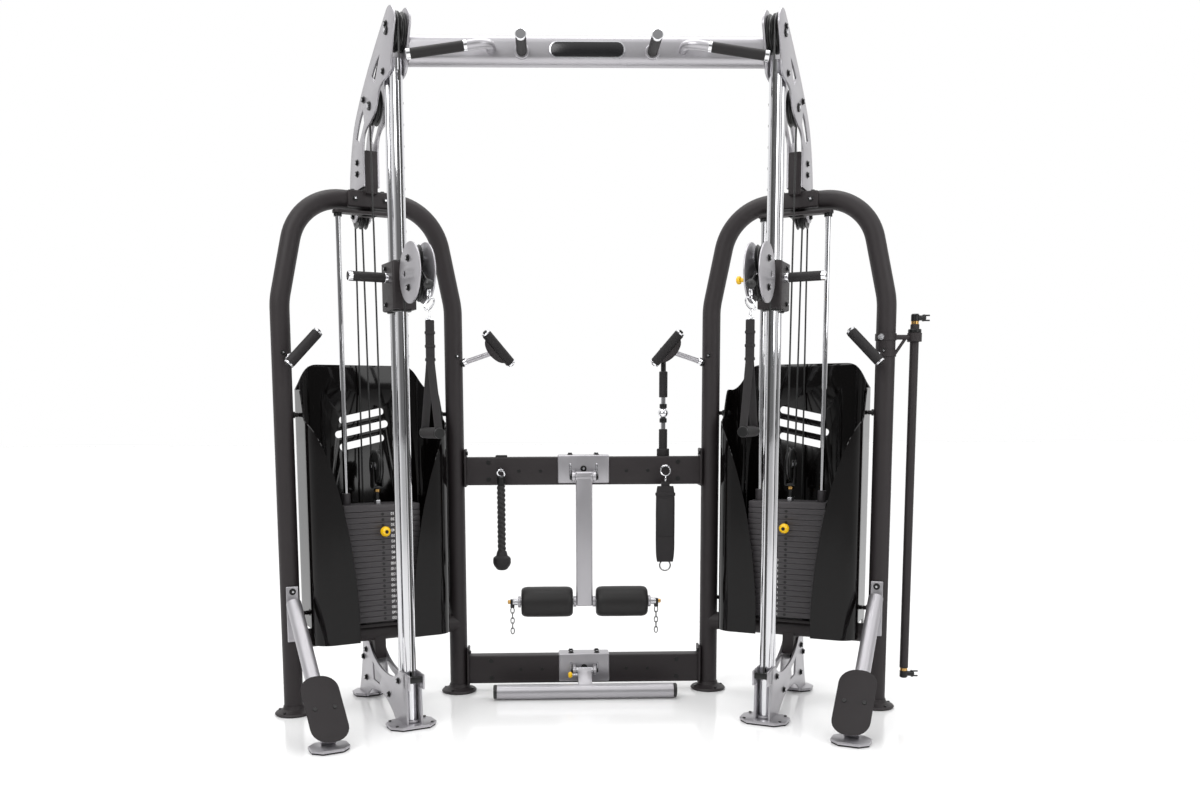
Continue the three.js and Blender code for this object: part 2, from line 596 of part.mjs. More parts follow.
// Two discs on a swivel tube, and the cable's short end between the two guide wheels.
function pulleyHead() {
  const discs = [-1, 1].map((side) => {
    const middle = side * (CHEEK_INNER + DISC_WALL / 2);
    return rod("x", DISC_R, middle - DISC_WALL / 2, middle + DISC_WALL / 2, DISC_Y, HEAD_Z, 24);
  });
  const rear = DISC_Y + DISC_R - 2 - RUN;
  const web = box(-CHEEK_INNER - 1, CHEEK_INNER + 1, rear - 32, rear - 8, HEAD_Z - 10, HEAD_Z + 10);
  const wheels = headAxles.map((axle) => wheel(SMALL_WHEEL_R, 0, axle, PIN_R - 1));
  const bolts = headAxles.map((axle) => axleBolt(axle, -CHEEK_INNER - 9, CHEEK_INNER + 9));
  const knee = point(0, DISC_Y - 46, HEAD_Z - 4);
  const ball = point(0, BALL.y, BALL.z);
  const end = ball.clone().addScaledVector(knee.clone().sub(ball).normalize(), BALL.r + GAP);
  const cable = tube([point(0, rear - 20, HEAD_Z), knee, end], CABLE_R, SMALL_SIDES);
  return join(...discs, rod("y", 12, rear - 34, rear, 0, HEAD_Z), web, ...wheels, ...bolts, cable);
}

// A stop ball, snap hook, webbing strap and grip that hang at the end of the cable.
function strapHandle() {
  const y = BALL.y;
  const legs = [-1, 1].map((side) =>
    strut(point(0, y, STRAP_SPLIT + 6), point(0, y + side * GRIP_HALF, GRIP_Z), 5, 6).scale(2.4, 1, 1)
  );
  return join(
    new THREE.SphereGeometry(BALL.r, 10, 6).translate(0, y, BALL.z),
    rod("z", 5, STRAP_TOP - 5, BALL.z, 0, y, 8),
    box(-15, 15, y - 4, y + 4, STRAP_TOP - 8, STRAP_TOP + 6),
    box(-13, 13, y - 5, y + 5, STRAP_SPLIT, STRAP_TOP),
    ...legs,
    rod("y", 16, y - GRIP_HALF - 8, y + GRIP_HALF + 8, 0, GRIP_Z, SMALL_SIDES)
  );
}

// ---- step and leg grips ----------------------------------------------------------------------
function step() {
  const top = point(LEG_X, -TUBE_R - 6, 390);
  const foot = point(LEG_X, STEP_FOOT_Y, FLANGE_HEIGHT + 6);
  const along = foot.clone().sub(top).normalize();
  const middle = top.clone().addScaledVector(along, 452);
  const up = point(0, along.z, -along.y);
  const padMiddle = middle.clone().addScaledVector(up, STEP_RISE);
  const pad = plateZ(roundedRect(115, 232, 50), -4, 4)
    .rotateX(Math.atan2(along.z, along.y))
    .translate(padMiddle.x, padMiddle.y, padMiddle.z);
  return join(
    box(LEG_X - 20, LEG_X + 20, -TUBE_R - 7, -TUBE_R - GAP, 249, 432),
    cut(strut(top, foot, 24), box(LEG_X - 60, LEG_X + 60, -TUBE_R - GAP, 60, 200, 600)),
    strut(middle, padMiddle, 22, SMALL_SIDES),
    plateZ(octagon(116, 96, LEG_X, STEP_FOOT_Y), 0, FLANGE_HEIGHT),
    pad
  );
}

// A T-shaped hand grip: an arm from the leg, a D-shaped holder and a slanted grip.
function legGrip(legX, offset, slant) {
  const grip = point(slant * Math.sin(GRIP_SLANT), 0, Math.cos(GRIP_SLANT));
  const root = point(legX, 0, GRIP_ROOT_Z);
  const centre = root.clone().add(offset);
  const reach = centre.clone().sub(root).normalize();
  const back = root.clone().sub(centre);
  back.addScaledVector(grip, -back.dot(grip)).normalize();
  const turn = new THREE.Matrix4().makeBasis(back.clone().cross(grip), back, grip).setPosition(centre);
  const holder = plateX(outline([[0, 56], [0, -56], [26, -44], [36, -16], [36, 16], [26, 44]]), -11, 11);
  const head = join(rod("z", 17, -76, 76, 0, 0, SMALL_SIDES), holder).applyMatrix4(turn);
  const start = root.clone().addScaledVector(reach, TUBE_R - 6);
  const collarEnd = root.clone().addScaledVector(reach, TUBE_R + 20);
  const end = centre.clone().addScaledVector(back, 20);
  const arm = [strut(start, end, 9, SMALL_SIDES), strut(start, collarEnd, 14, SMALL_SIDES)];
  return cut(join(head, ...arm), archTube(TUBE_R + 1));
}

// ---- one tower, in its own frame: X outwards, Y back, the arch in the plane Y = 0 --------------
function tower(side, barHolder) {
  const name = (piece) => side + "_" + piece;
  const group = new THREE.Group();
  group.position.set(TOWER_X, TOWER_Y, 0);
  group.rotation.z = -PLAN_TURN;
  group.add(
    mesh(name("arch_frame"), archFrame(barHolder), blackPaint()),
    mesh(name("top_plate_outer"), topPlate(1), silverPaint()),
    mesh(name("top_plate_inner"), topPlate(-1), silverPaint()),
    mesh(name("column_base"), columnBase(), silverPaint()),
    mesh(name("column"), rod("z", COLUMN_R, FLANGE_HEIGHT + GAP, COLUMN_TOP, 0, COLUMN_Y, 20), chrome()),
    mesh(name("guide_tube"), rod("z", GUIDE_R, GUIDE_BOTTOM, GUIDE_TOP, 0, GUIDE_Y), chrome()),
    mesh(name("guide_rods"), guideRods(), chrome()),
    mesh(name("shroud"), shroud(), glossBlack()),
    mesh(name("weight_plates"), weightPlates(), ironGrey()),
    mesh(name("head_plate"), headPlate(), ironGrey()),
    mesh(name("selector_pin"), selectorPin(), yellow()),
    mesh(name("floating_pulley"), wheel(WHEEL_R, 0, { y: STACK_Y, z: FLOAT_AXLE_Z }), nylon()),
    mesh(name("top_pulleys"), wheelPair(WHEEL_R, TOP_AXLE), nylon()),
    mesh(name("middle_pulley"), wheel(WHEEL_R, PAIR_X, MID_AXLE), nylon()),
    mesh(name("arch_pulleys"), wheelPair(SMALL_WHEEL_R, ARCH_AXLE), nylon()),
    mesh(name("column_cable"), columnCable(), nylon()),
    mesh(name("stack_cable"), stackCable(), nylon()),
    mesh(name("carriage"), carriage(), blackPaint()),
    mesh(name("carriage_pin"), carriagePin(PIN_REACH[side]), yellow()),
    mesh(name("pulley_head"), pulleyHead(), silverPaint()),
    mesh(name("strap_handle"), strapHandle(), webbing()),
    mesh(name("step"), step(), silverPaint()),
    mesh(name("outer_grip"), legGrip(legAxis(GRIP_ROOT_Z), point(-48, -96, 46), -1), rubber()),
    mesh(name("inner_grip"), legGrip(-legAxis(GRIP_ROOT_Z), point(-127, -96, 60), 1), rubber())
  );
  return group;
}

// ---- pieces between the towers ----------------------------------------------------------------
const LOOSE = ["triceps_rope", "rope_end"];

// The space taken by each tower's side plates, which the beam's ends stop at.
const towerSides = () => {
  const right = box(-CHEEK_OUTER - GAP, 300, -500, 100, BEAM.z - 200, BEAM.z + 200);
  const left = box(-300, CHEEK_OUTER + GAP, -500, 100, BEAM.z - 200, BEAM.z + 200);
  return [
    right.rotateZ(-PLAN_TURN).translate(TOWER_X, TOWER_Y, 0),
    left.rotateZ(PLAN_TURN).translate(-TOWER_X, TOWER_Y, 0),
  ];
};

// The oval pull-up beam with two forward pegs and two swept grips.
function topBeam() {
  const oval = roundedRect(BEAM.depth, BEAM.height, BEAM.depth / 2 - 0.5);
  const beam = cut(plateX(oval, -COLUMN_X - 20, COLUMN_X + 20).translate(0, 0, BEAM.z), ...towerSides());
  const front = -BEAM.depth / 2;
  const pegs = [-1, 1].map((side) =>
    rod("y", 16, front - PEG_LENGTH, front + 5, side * PEG_X, BEAM.z - 8, SMALL_SIDES)
  );
  const sweep = [[284, -18, 0], [284, -56, 0], [293, -74, -1], [312, -82, -4], [524, -112, -45]];
  const pullUps = [-1, 1].map((side) =>
    tube(sweep.map(([x, y, drop]) => point(side * x, y, BEAM.z + drop)), 15, SMALL_SIDES)
  );
  return join(beam, ...pegs, ...pullUps);
}

const barEnd = INNER_LEG_X - TUBE_R - GAP;
const barFront = INNER_LEG_Y - BAR_DEPTH / 2;

// A rectangular crossbar with a saddle plate at each end.
function crossbar({ z, height }) {
  const [low, high] = [z - height / 2, z + height / 2];
  const saddles = [-barEnd, barEnd - 8].map((x) =>
    box(x, x + 8, barFront - 7, barFront + BAR_DEPTH + 7, low - 6, high + 28)
  );
  return join(box(-barEnd + 4, barEnd - 4, barFront, barFront + BAR_DEPTH, low, high), ...saddles);
}

const clampBlock = ({ z, height }) =>
  box(-90, 90, barFront - 7, barFront + BAR_DEPTH + 7, z - height / 2 + 6, z + height / 2 + 7);

const pivotEars = (y0, y1, z0, z1) => [-36, 36].map((x) => box(x - 5, x + 5, y0, y1, z0, z1));

// The upper bar carries the leg arm's clamp, the rope's hook, the strap's hook and the curl bar's boot.
function upperBar() {
  const top = UPPER_BAR.z + UPPER_BAR.height / 2;
  const boot = cut(
    rod("z", CURL.r + 7, top - 2, top + 26, CURL.x, CURL.y),
    rod("z", CURL.r + RUN, top + 4, top + 40, CURL.x, CURL.y)
  );
  return join(
    crossbar(UPPER_BAR),
    clampBlock(UPPER_BAR),
    ...pivotEars(ARM.y - 18, barFront + 2, ARM.pivotZ - 20, ARM.pivotZ + 24),
    rod("y", 7, ROPE.y - 12, barFront + 5, ROPE.x, ROPE.hookZ, SMALL_SIDES),
    rod("z", 9, ROPE.heights[0] + GAP, ROPE.hookZ + 12, ROPE.x, ROPE.y, SMALL_SIDES),
    rod("y", 6, ROPE.y - 14, barFront + 5, STRAP_X, STRAP_HOOK_Z, SMALL_SIDES),
    boot
  );
}

const lowerBar = () =>
  join(
    crossbar(LOWER_BAR),
    clampBlock(LOWER_BAR),
    ...pivotEars(FOOT.pivotY - 14, barFront + 2, FOOT.pivotZ - 16, FOOT.pivotZ + 16)
  );

// The leg arm hangs from its pivot and carries the rollers' axle with a cable fork at each end.
function legArm() {
  const ends = [-1, 1].map((side) =>
    join(
      rod("x", 20, side * 226 - 4, side * 226 + 4, ARM.y, ARM.axleZ, SMALL_SIDES),
      box(side * 248 - 20, side * 248 + 20, ARM.y - 9, ARM.y + 9, ARM.axleZ - 9, ARM.axleZ + 9),
      box(side * 251 - 13, side * 251 + 13, ARM.y - 9, ARM.y + 9, ARM.axleZ - 44, ARM.axleZ)
    )
  );
  return join(
    box(-28, 28, ARM.y - 19, ARM.y + 19, ARM.axleZ - 14, ARM.pivotZ + 18),
    rod("x", 12, -250, 250, ARM.y, ARM.axleZ, SMALL_SIDES),
    ...ends
  );
}

// A foam roller bored for its axle.
function roller(side) {
  const half = ROLLER.length / 2;
  const r = ROLLER.r;
  const profile = [
    [12 + RUN, -half], [r - 12, -half], [r, -half + 14], [r, half - 14],
    [r - 12, half], [12 + RUN, half], [12 + RUN, -half],
  ];
  return turned(profile, 20).rotateY(Math.PI / 2).translate(side * ROLLER.x, ARM.y, ARM.axleZ);
}

// The folding foot bar: a tube across the front on a short neck.
function footBar() {
  const neck = strut(point(0, FOOT.pivotY, FOOT.pivotZ), point(0, FOOT.y, FOOT.z), 18, 4);
  return join(
    rod("x", FOOT.r, -FOOT.half, FOOT.half, FOOT.y, FOOT.z),
    rod("x", 12, -30.5, 30.5, FOOT.pivotY, FOOT.pivotZ, SMALL_SIDES),
    neck
  );
}

const rope = () => tube(ROPE.heights.map((z) => point(ROPE.x, ROPE.y, z)), ROPE.r, SMALL_SIDES);

// The cup that the rope's loose end is crimped into.
const ropeEnd = () => {
  const top = ROPE.heights[ROPE.heights.length - 1] - GAP;
  const profile = [[0, top - 67], [18, top - 67], [31, top - 42], [31, top - 22], [17, top], [0, top]];
  return turned(profile).translate(ROPE.x, ROPE.y, 0);
};

// A padded cuff that hangs on its upper ring.
function ankleStrap() {
  const y = ROPE.y;
  const ring = cut(
    rod("y", 20, y - 3, y + 3, STRAP_X, STRAP_HOOK_Z - 8, SIDES),
    rod("y", 15, y - 5, y + 5, STRAP_X, STRAP_HOOK_Z - 8, SIDES)
  );
  return join(
    ring,
    box(STRAP_X - 33, STRAP_X + 33, y - 10, y + 10, 470, STRAP_HOOK_Z - 62),
    box(STRAP_X - 16, STRAP_X + 16, y - 5, y + 5, STRAP_HOOK_Z - 64, STRAP_HOOK_Z - 24),
    rod("y", 22, y - 3, y + 3, STRAP_X, 456, SMALL_SIDES)
  );
}

// The short bar that stands in its boot: two grips, a ball swivel between them and a fork on top.
function curlBar() {
  const { x, y, r, ballZ, gripTop, forkZ } = CURL;
  const base = UPPER_BAR.z + UPPER_BAR.height / 2 + 4 + GAP;
  return join(
    rod("z", r, base, ballZ - 55, x, y),
    rod("z", r, ballZ + 55, gripTop, x, y),
    rod("z", 9, base, forkZ, x, y, SMALL_SIDES),
    new THREE.SphereGeometry(19, 10, 6).translate(x, y, ballZ),
    box(x - 13, x + 13, y - 5, y + 5, forkZ - 8, forkZ + 2),
    ...[-8, 8].map((side) => rod("z", 4, forkZ, forkZ + 20, x + side, y, SMALL_SIDES))
  );
}

// The long bar beside the right tower, with a swivel fork at each end and a stop collar on its holder.
function longBar() {
  const forks = [LONG_BAR.low, LONG_BAR.high].map((z) =>
    join(
      rod("x", 9, LONG_BAR.x - 8, LONG_BAR.x + 48, LONG_BAR.y, z, SMALL_SIDES),
      box(LONG_BAR.x + 22, LONG_BAR.x + 34, LONG_BAR.y - 8, LONG_BAR.y + 8, z - 14, z + 14)
    )
  );
  const stop = LONG_BAR.holderZ + 14 + GAP;
  return join(
    rod("z", LONG_BAR.r, LONG_BAR.low, LONG_BAR.high, LONG_BAR.x, LONG_BAR.y),
    rod("z", LONG_BAR.r + 7, stop, stop + 12, LONG_BAR.x, LONG_BAR.y),
    ...forks
  );
}

// The holder on the right outer leg, placed in that tower's own frame.
function barHolder() {
  const out = point(LONG_BAR.x - TOWER_X, LONG_BAR.y - TOWER_Y, 0).applyAxisAngle(point(0, 0, 1), PLAN_TURN);
  const z = LONG_BAR.holderZ;
  const reach = point(out.x, out.y, z);
  const collar = cut(
    rod("z", LONG_BAR.r + 9, z - 14, z + 14, out.x, out.y),
    rod("z", LONG_BAR.r + RUN, z - 20, z + 20, out.x, out.y)
  );
  const leg = point(legAxis(z), 0, z);
  const inward = leg.clone().sub(reach).normalize();
  const arm = strut(leg, reach.clone().addScaledVector(inward, LONG_BAR.r + 4), 8, SMALL_SIDES);
  return [collar, arm];
}

const rightTower = tower("right", barHolder());
const leftTower = new THREE.Group();
leftTower.add(tower("left", []));
leftTower.scale.x = -1;

const machine = new THREE.Group();
machine.add(
  rightTower,
  leftTower,
  mesh("top_beam", topBeam(), silverPaint()),
  mesh("upper_crossbar", upperBar(), blackPaint()),
  mesh("lower_crossbar", lowerBar(), blackPaint()),
  mesh("leg_arm", legArm(), silverPaint()),
  mesh("left_roller", roller(-1), rubber()),
  mesh("right_roller", roller(1), rubber()),
  mesh("foot_bar", footBar(), silverPaint()),
  mesh("triceps_rope", rope(), webbing()),
  mesh("rope_end", ropeEnd(), rubber()),
  mesh("ankle_strap", ankleStrap(), webbing()),
  mesh("curl_bar", curlBar(), blackPaint()),
  mesh("long_bar", longBar(), blackPaint())
);

// The origin goes under the middle of the machine, on the floor. The loose rope is left out of the measure.
machine.updateMatrixWorld(true);
const bounds = new THREE.Box3();
machine.traverse((piece) => {
  if (piece.isMesh && !LOOSE.includes(piece.name)) bounds.expandByObject(piece, true);
});
const middle = bounds.getCenter(point(0, 0, 0));
machine.position.set(-middle.x, -middle.y, -bounds.min.z);

export default machine;
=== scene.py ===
"""A cable crossover machine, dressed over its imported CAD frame: arches, stacks, pulleys and handles."""
import json
import math

import bmesh
import bpy
from mathutils import Matrix, Vector


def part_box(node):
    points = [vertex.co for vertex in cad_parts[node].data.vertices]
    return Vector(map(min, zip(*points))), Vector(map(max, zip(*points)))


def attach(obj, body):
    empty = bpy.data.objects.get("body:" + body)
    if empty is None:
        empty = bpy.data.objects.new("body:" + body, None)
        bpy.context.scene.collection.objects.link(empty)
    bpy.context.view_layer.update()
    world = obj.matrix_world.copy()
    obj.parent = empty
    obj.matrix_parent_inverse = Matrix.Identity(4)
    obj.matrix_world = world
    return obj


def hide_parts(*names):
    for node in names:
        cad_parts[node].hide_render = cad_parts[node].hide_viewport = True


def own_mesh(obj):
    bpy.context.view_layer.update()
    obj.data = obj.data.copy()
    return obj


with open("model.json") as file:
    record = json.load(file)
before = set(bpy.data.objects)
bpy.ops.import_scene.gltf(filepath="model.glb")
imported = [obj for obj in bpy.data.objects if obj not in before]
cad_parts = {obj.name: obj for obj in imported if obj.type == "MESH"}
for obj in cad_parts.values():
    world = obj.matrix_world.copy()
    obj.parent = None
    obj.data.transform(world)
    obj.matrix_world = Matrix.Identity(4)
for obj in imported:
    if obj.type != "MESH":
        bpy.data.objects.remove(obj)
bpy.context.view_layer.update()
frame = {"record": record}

JOINTS = {joint["name"]: joint for joint in frame["record"]["behaviour"]["joints"]}

# ---- sizes of the CAD model that the pieces repeat, in millimetres ----------------------------
LEG_X = 294
ARCH_HEIGHT = 1676
LEG_STRAIGHT = 1320
LEG_LEAN = math.radians(12)
LEAN_BEND_R = 250
CORNER_BEND_R = 170
TUBE_R = 31
CROSS_TUBE_Z = 250
COLUMN_Y = -322
GUIDE_Y = -252
CHEEK_IN = 20
CHEEK_OUT = 27
TOP_AXLE = (-320, 2108)
MID_AXLE = (-140, 1938)
ARCH_AXLE = (66, 1638)
WHEEL_R = 57
SMALL_WHEEL_R = 40
PAIR_X = 8.8
CABLE_R = 3
STACK_Y = -30
STACK_FRONT = -84
ROD_X = 106
PLATE_PITCH = 18.5
PLATE_COUNT = 20
LIFTED_COUNT = 4
STACK_BOTTOM = 297
SPLIT_Z = STACK_BOTTOM + (PLATE_COUNT - LIFTED_COUNT) * PLATE_PITCH
STACK_TOP = STACK_BOTTOM + PLATE_COUNT * PLATE_PITCH
HEAD_TOP = STACK_TOP + 22
PIN_Z = SPLIT_Z + PLATE_PITCH / 2
FLOAT_Z = 812
SHROUD_HALF = 239
SHROUD_BACK = 128
SHROUD_FRONT = -108
CARRIAGE_Z = (1295, 1447)
HEAD_Z = 1394
PIN_REACH = {"right": 75, "left": 40}
DISC_Y = -470
DISC_R = 88
BALL = (-562, 1352)
GRIP_Z = 932
BAR_Y = 419.3
BAR_FRONT = BAR_Y - 25
BAR_END = 415.3
ARM_Y = 348
ARM_PIVOT_Z = 768
AXLE_Z = 334
ROPE = (-286, 362)
ROPE_TOP = 740
ROPE_END = 512
STRAP_X = 283
STRAP_HOOK_Z = 796
CURL = (282, BAR_Y + 15)
LONG_BAR = (1067, 158)
HOLDER_Z = 1226
BEAM_Z = 2053

SMOOTH = 32


# ---- finishes ----------------------------------------------------------------------------------
def finish(name, color, roughness, metallic=0.0, grain=400.0, depth=0.1, mottle=0.12, shine=0.5):
    """A surface with fine grain in its relief, and slow changes in colour and gloss."""
    look = bpy.data.materials.new(name)
    look.use_nodes = True
    nodes, links = look.node_tree.nodes, look.node_tree.links
    shader = nodes["Principled BSDF"]
    shader.inputs["Metallic"].default_value = metallic
    shader.inputs["Specular IOR Level"].default_value = shine
    place = nodes.new("ShaderNodeTexCoord")
    fine = nodes.new("ShaderNodeTexNoise")
    fine.inputs["Scale"].default_value = grain
    fine.inputs["Detail"].default_value = 4
    slow = nodes.new("ShaderNodeTexNoise")
    slow.inputs["Scale"].default_value = 9
    slow.inputs["Detail"].default_value = 6
    relief = nodes.new("ShaderNodeBump")
    relief.inputs["Strength"].default_value = depth
    relief.inputs["Distance"].default_value = 0.0006
    tint = nodes.new("ShaderNodeMix")
    tint.data_type = "RGBA"
    tint.inputs["A"].default_value = (*[c * (1 - mottle) for c in color], 1)
    tint.inputs["B"].default_value = (*[min(1, c * (1 + mottle)) for c in color], 1)
    gloss = nodes.new("ShaderNodeMapRange")
    gloss.inputs["To Min"].default_value = max(0.02, roughness * 0.8)
    gloss.inputs["To Max"].default_value = min(1, roughness * 1.2)
    links.new(place.outputs["Object"], fine.inputs["Vector"])
    links.new(place.outputs["Object"], slow.inputs["Vector"])
    links.new(fine.outputs["Fac"], relief.inputs["Height"])
    links.new(slow.outputs["Fac"], tint.inputs["Factor"])
    links.new(slow.outputs["Fac"], gloss.inputs["Value"])
    links.new(relief.outputs["Normal"], shader.inputs["Normal"])
    links.new(tint.outputs["Result"], shader.inputs["Base Color"])
    links.new(gloss.outputs["Result"], shader.inputs["Roughness"])
    return look


def woven(name, color, scale, depth):
    """A cloth whose relief is a fine weave of crossing bands."""
    look = finish(name, color, 0.9, mottle=0.25)
    nodes, links = look.node_tree.nodes, look.node_tree.links
    relief = nodes["Bump"]
    relief.inputs["Strength"].default_value = depth
    place = nodes["Texture Coordinate"]
    threads = []
    for axis in ("X", "Z"):
        band = nodes.new("ShaderNodeTexWave")
        band.bands_direction = axis
        band.inputs["Scale"].default_value = scale
        band.inputs["Distortion"].default_value = 0.6
        links.new(place.outputs["Object"], band.inputs["Vector"])
        threads.append(band)
    weave = nodes.new("ShaderNodeMath")
    weave.operation = "MULTIPLY"
    links.new(threads[0].outputs["Fac"], weave.inputs[0])
    links.new(threads[1].outputs["Fac"], weave.inputs[1])
    links.new(weave.outputs[0], relief.inputs["Height"])
    return look


POWDER = finish("powder_coat", (0.021, 0.017, 0.018), 0.5, grain=900, depth=0.45, shine=0.35)
SILVER = finish("silver_paint", (0.43, 0.42, 0.44), 0.36, metallic=0.8, grain=1500, depth=0.12, mottle=0.06)
EDGE = finish("cut_edge", (0.72, 0.72, 0.75), 0.28, metallic=0.9, mottle=0.05)
CHROME = finish("chrome", (0.78, 0.78, 0.8), 0.06, metallic=1.0, grain=60, depth=0.02, mottle=0.03)
STEEL = finish("zinc_steel", (0.55, 0.55, 0.57), 0.25, metallic=1.0, grain=900, depth=0.1)
CHAIN = finish("chain_steel", (0.2, 0.2, 0.2), 0.3, metallic=0.9)
BLACK_STEEL = finish("black_oxide", (0.012, 0.012, 0.012), 0.32, metallic=0.4, grain=900, depth=0.15)
SHROUD = finish("gloss_shroud", (0.0025, 0.002, 0.002), 0.09, grain=30, depth=0.02, shine=0.3)
IRON = finish("iron_plate", (0.05, 0.046, 0.049), 0.46, metallic=0.1, grain=700, depth=0.3, shine=0.4)
NYLON = finish("black_nylon", (0.012, 0.012, 0.012), 0.38, grain=500, depth=0.1)
YELLOW = finish("yellow_knob", (0.88, 0.52, 0.004), 0.22, grain=90, depth=0.05, mottle=0.05)
WHITE = finish("white_mark", (0.75, 0.75, 0.75), 0.5, mottle=0.03)
CABLE = finish("cable_coat", (0.016, 0.016, 0.016), 0.3, grain=1600, depth=0.3)
RUBBER = finish("grip_rubber", (0.013, 0.0115, 0.012), 0.6, grain=1300, depth=0.5, shine=0.35)
FOAM = finish("roller_foam", (0.009, 0.008, 0.008), 0.5, grain=240, depth=0.4, shine=0.35)
TREAD = finish("step_pad", (0.021, 0.018, 0.019), 0.7, grain=1100, depth=0.8, shine=0.3)
BRASS = finish("brass_tip", (0.6, 0.36, 0.12), 0.25, metallic=1.0)
WEBBING = woven("webbing", (0.018, 0.016, 0.017), 260, 0.6)
ROPE_FIBRE = woven("rope_fibre", (0.032, 0.03, 0.03), 330, 0.9)
EMBLEM = finish("emblem", (0.01, 0.01, 0.011), 0.2)


# ---- shapes, each a pair of points in millimetres and faces --------------------------------------
def lathe(profile, origin=(0, 0, 0), axis=(0, 0, 1), sides=SMOOTH):
    """A solid of revolution from (radius, height) pairs along an axis from origin."""
    turn = Vector((0, 0, 1)).rotation_difference(Vector(axis).normalized()).to_matrix()
    points, rings, faces = [], [], []
    for radius, height in profile:
        count = sides if radius > 0.001 else 1
        rings.append([len(points) + k % count for k in range(sides)])
        for k in range(count):
            angle = 2 * math.pi * k / sides
            spot = Vector((radius * math.cos(angle), radius * math.sin(angle), height))
            points.append(turn @ spot + Vector(origin))
    for low, high in zip(rings, rings[1:]):
        for k in range(sides):
            after = (k + 1) % sides
            corners = list(dict.fromkeys([low[k], low[after], high[after], high[k]]))
            if len(corners) > 2:
                faces.append(corners)
    return points, faces


def rod(start, end, radius, bevel=0.8, sides=SMOOTH):
    """A round bar between two points, with broken edges."""
    along = Vector(end) - Vector(start)
    length = along.length
    profile = [
        (0, 0), (radius - bevel, 0), (radius, bevel),
        (radius, length - bevel), (radius - bevel, length), (0, length),
    ]
    return lathe(profile, start, along, sides)


def ring(start, end, radius, bore, bevel=0.6):
    """A short tube between two points."""
    along = Vector(end) - Vector(start)
    length = along.length
    profile = [
        (bore, 0), (radius - bevel, 0), (radius, bevel),
        (radius, length - bevel), (radius - bevel, length), (bore, length), (bore, 0),
    ]
    return lathe(profile, start, along)


def sweep(path, radius, sides=16, closed=False):
    """A round section carried along points."""
    path = [Vector(p) for p in path]
    count = len(path)
    points, faces = [], []
    side = None
    for i, here in enumerate(path):
        if closed:
            ahead = path[(i + 1) % count] - path[i - 1]
        else:
            ahead = path[min(i + 1, count - 1)] - path[max(i - 1, 0)]
        ahead.normalize()
        side = ahead.orthogonal() if side is None else side - ahead * side.dot(ahead)
        side.normalize()
        up = ahead.cross(side)
        for k in range(sides):
            angle = 2 * math.pi * k / sides
            points.append(here + (side * math.cos(angle) + up * math.sin(angle)) * radius)
    for i in range(count if closed else count - 1):
        low, high = i * sides, ((i + 1) % count) * sides
        for k in range(sides):
            after = (k + 1) % sides
            faces.append([low + k, low + after, high + after, high + k])
    if not closed:
        faces.append(list(range(sides)))
        faces.append([(count - 1) * sides + k for k in range(sides)])
    return points, faces


def torus(centre, axis, major, minor, stretch=1.0):
    """A closed ring round an axis, stretched along its second direction."""
    u = Vector(axis).normalized().orthogonal().normalized()
    v = Vector(axis).normalized().cross(u)
    turns = [2 * math.pi * k / 28 for k in range(28)]
    path = [Vector(centre) + (u * math.cos(t) + v * math.sin(t) * stretch) * major for t in turns]
    return sweep(path, minor, 10, closed=True)


def block(x, y, z, bevel=1.5, steps=2):
    """A box between low and high limits on each axis, with rounded edges."""
    shape = bmesh.new()
    bmesh.ops.create_cube(shape, size=1)
    for corner in shape.verts:
        low_high = [(limits[0], limits[1]) for limits in (x, y, z)]
        corner.co = [low + (high - low) * (c + 0.5) for (low, high), c in zip(low_high, corner.co)]
    bmesh.ops.bevel(
        shape, geom=shape.edges[:], offset=bevel, offset_type="OFFSET",
        segments=steps, profile=0.5, affect="EDGES",
    )
    shape.verts.index_update()
    points = [corner.co.copy() for corner in shape.verts]
    faces = [[corner.index for corner in face.verts] for face in shape.faces]
    shape.free()
    return points, faces


AXES = {
    "x": lambda a, b, t: (t, a, b),
    "y": lambda a, b, t: (a, t, b),
    "z": lambda a, b, t: (a, b, t),
}


def plate(outlines, low, high, axis, bevel=0.8):
    """A flat plate with holes: the first outline is its edge and the others are openings."""
    curve = bpy.data.curves.new("outline", "CURVE")
    curve.dimensions = "2D"
    curve.fill_mode = "BOTH"
    curve.extrude = (high - low) / 2 - bevel
    curve.bevel_depth = bevel
    curve.bevel_resolution = 1
    curve.offset = -bevel
    for outline in outlines:
        spline = curve.splines.new("POLY")
        spline.points.add(len(outline) - 1)
        for corner, (a, b) in zip(spline.points, outline):
            corner.co = (a, b, 0, 1)
        spline.use_cyclic_u = True
    holder = bpy.data.objects.new("outline", curve)
    bpy.context.scene.collection.objects.link(holder)
    bpy.context.view_layer.update()
    made = bpy.data.meshes.new_from_object(holder.evaluated_get(bpy.context.evaluated_depsgraph_get()))
    middle = (low + high) / 2
    points = [Vector(AXES[axis](v.co.x, v.co.y, v.co.z + middle)) for v in made.vertices]
    faces = [list(face.vertices) for face in made.polygons]
    bpy.data.objects.remove(holder)
    bpy.data.curves.remove(curve)
    bpy.data.meshes.remove(made)
    return points, faces


def arc(centre, radius, start, end, steps=12):
    """Points of an arc, angles in degrees."""
    turns = [math.radians(start + (end - start) * k / steps) for k in range(steps + 1)]
    return [(centre[0] + radius * math.cos(t), centre[1] + radius * math.sin(t)) for t in turns]


def curve(*controls, steps=10):
    """Points of a Bezier curve after its first point."""
    points = []
    for k in range(1, steps + 1):
        level = [Vector(c) for c in controls]
        while len(level) > 1:
            level = [a.lerp(b, k / steps) for a, b in zip(level, level[1:])]
        points.append(tuple(level[0]))
    return points


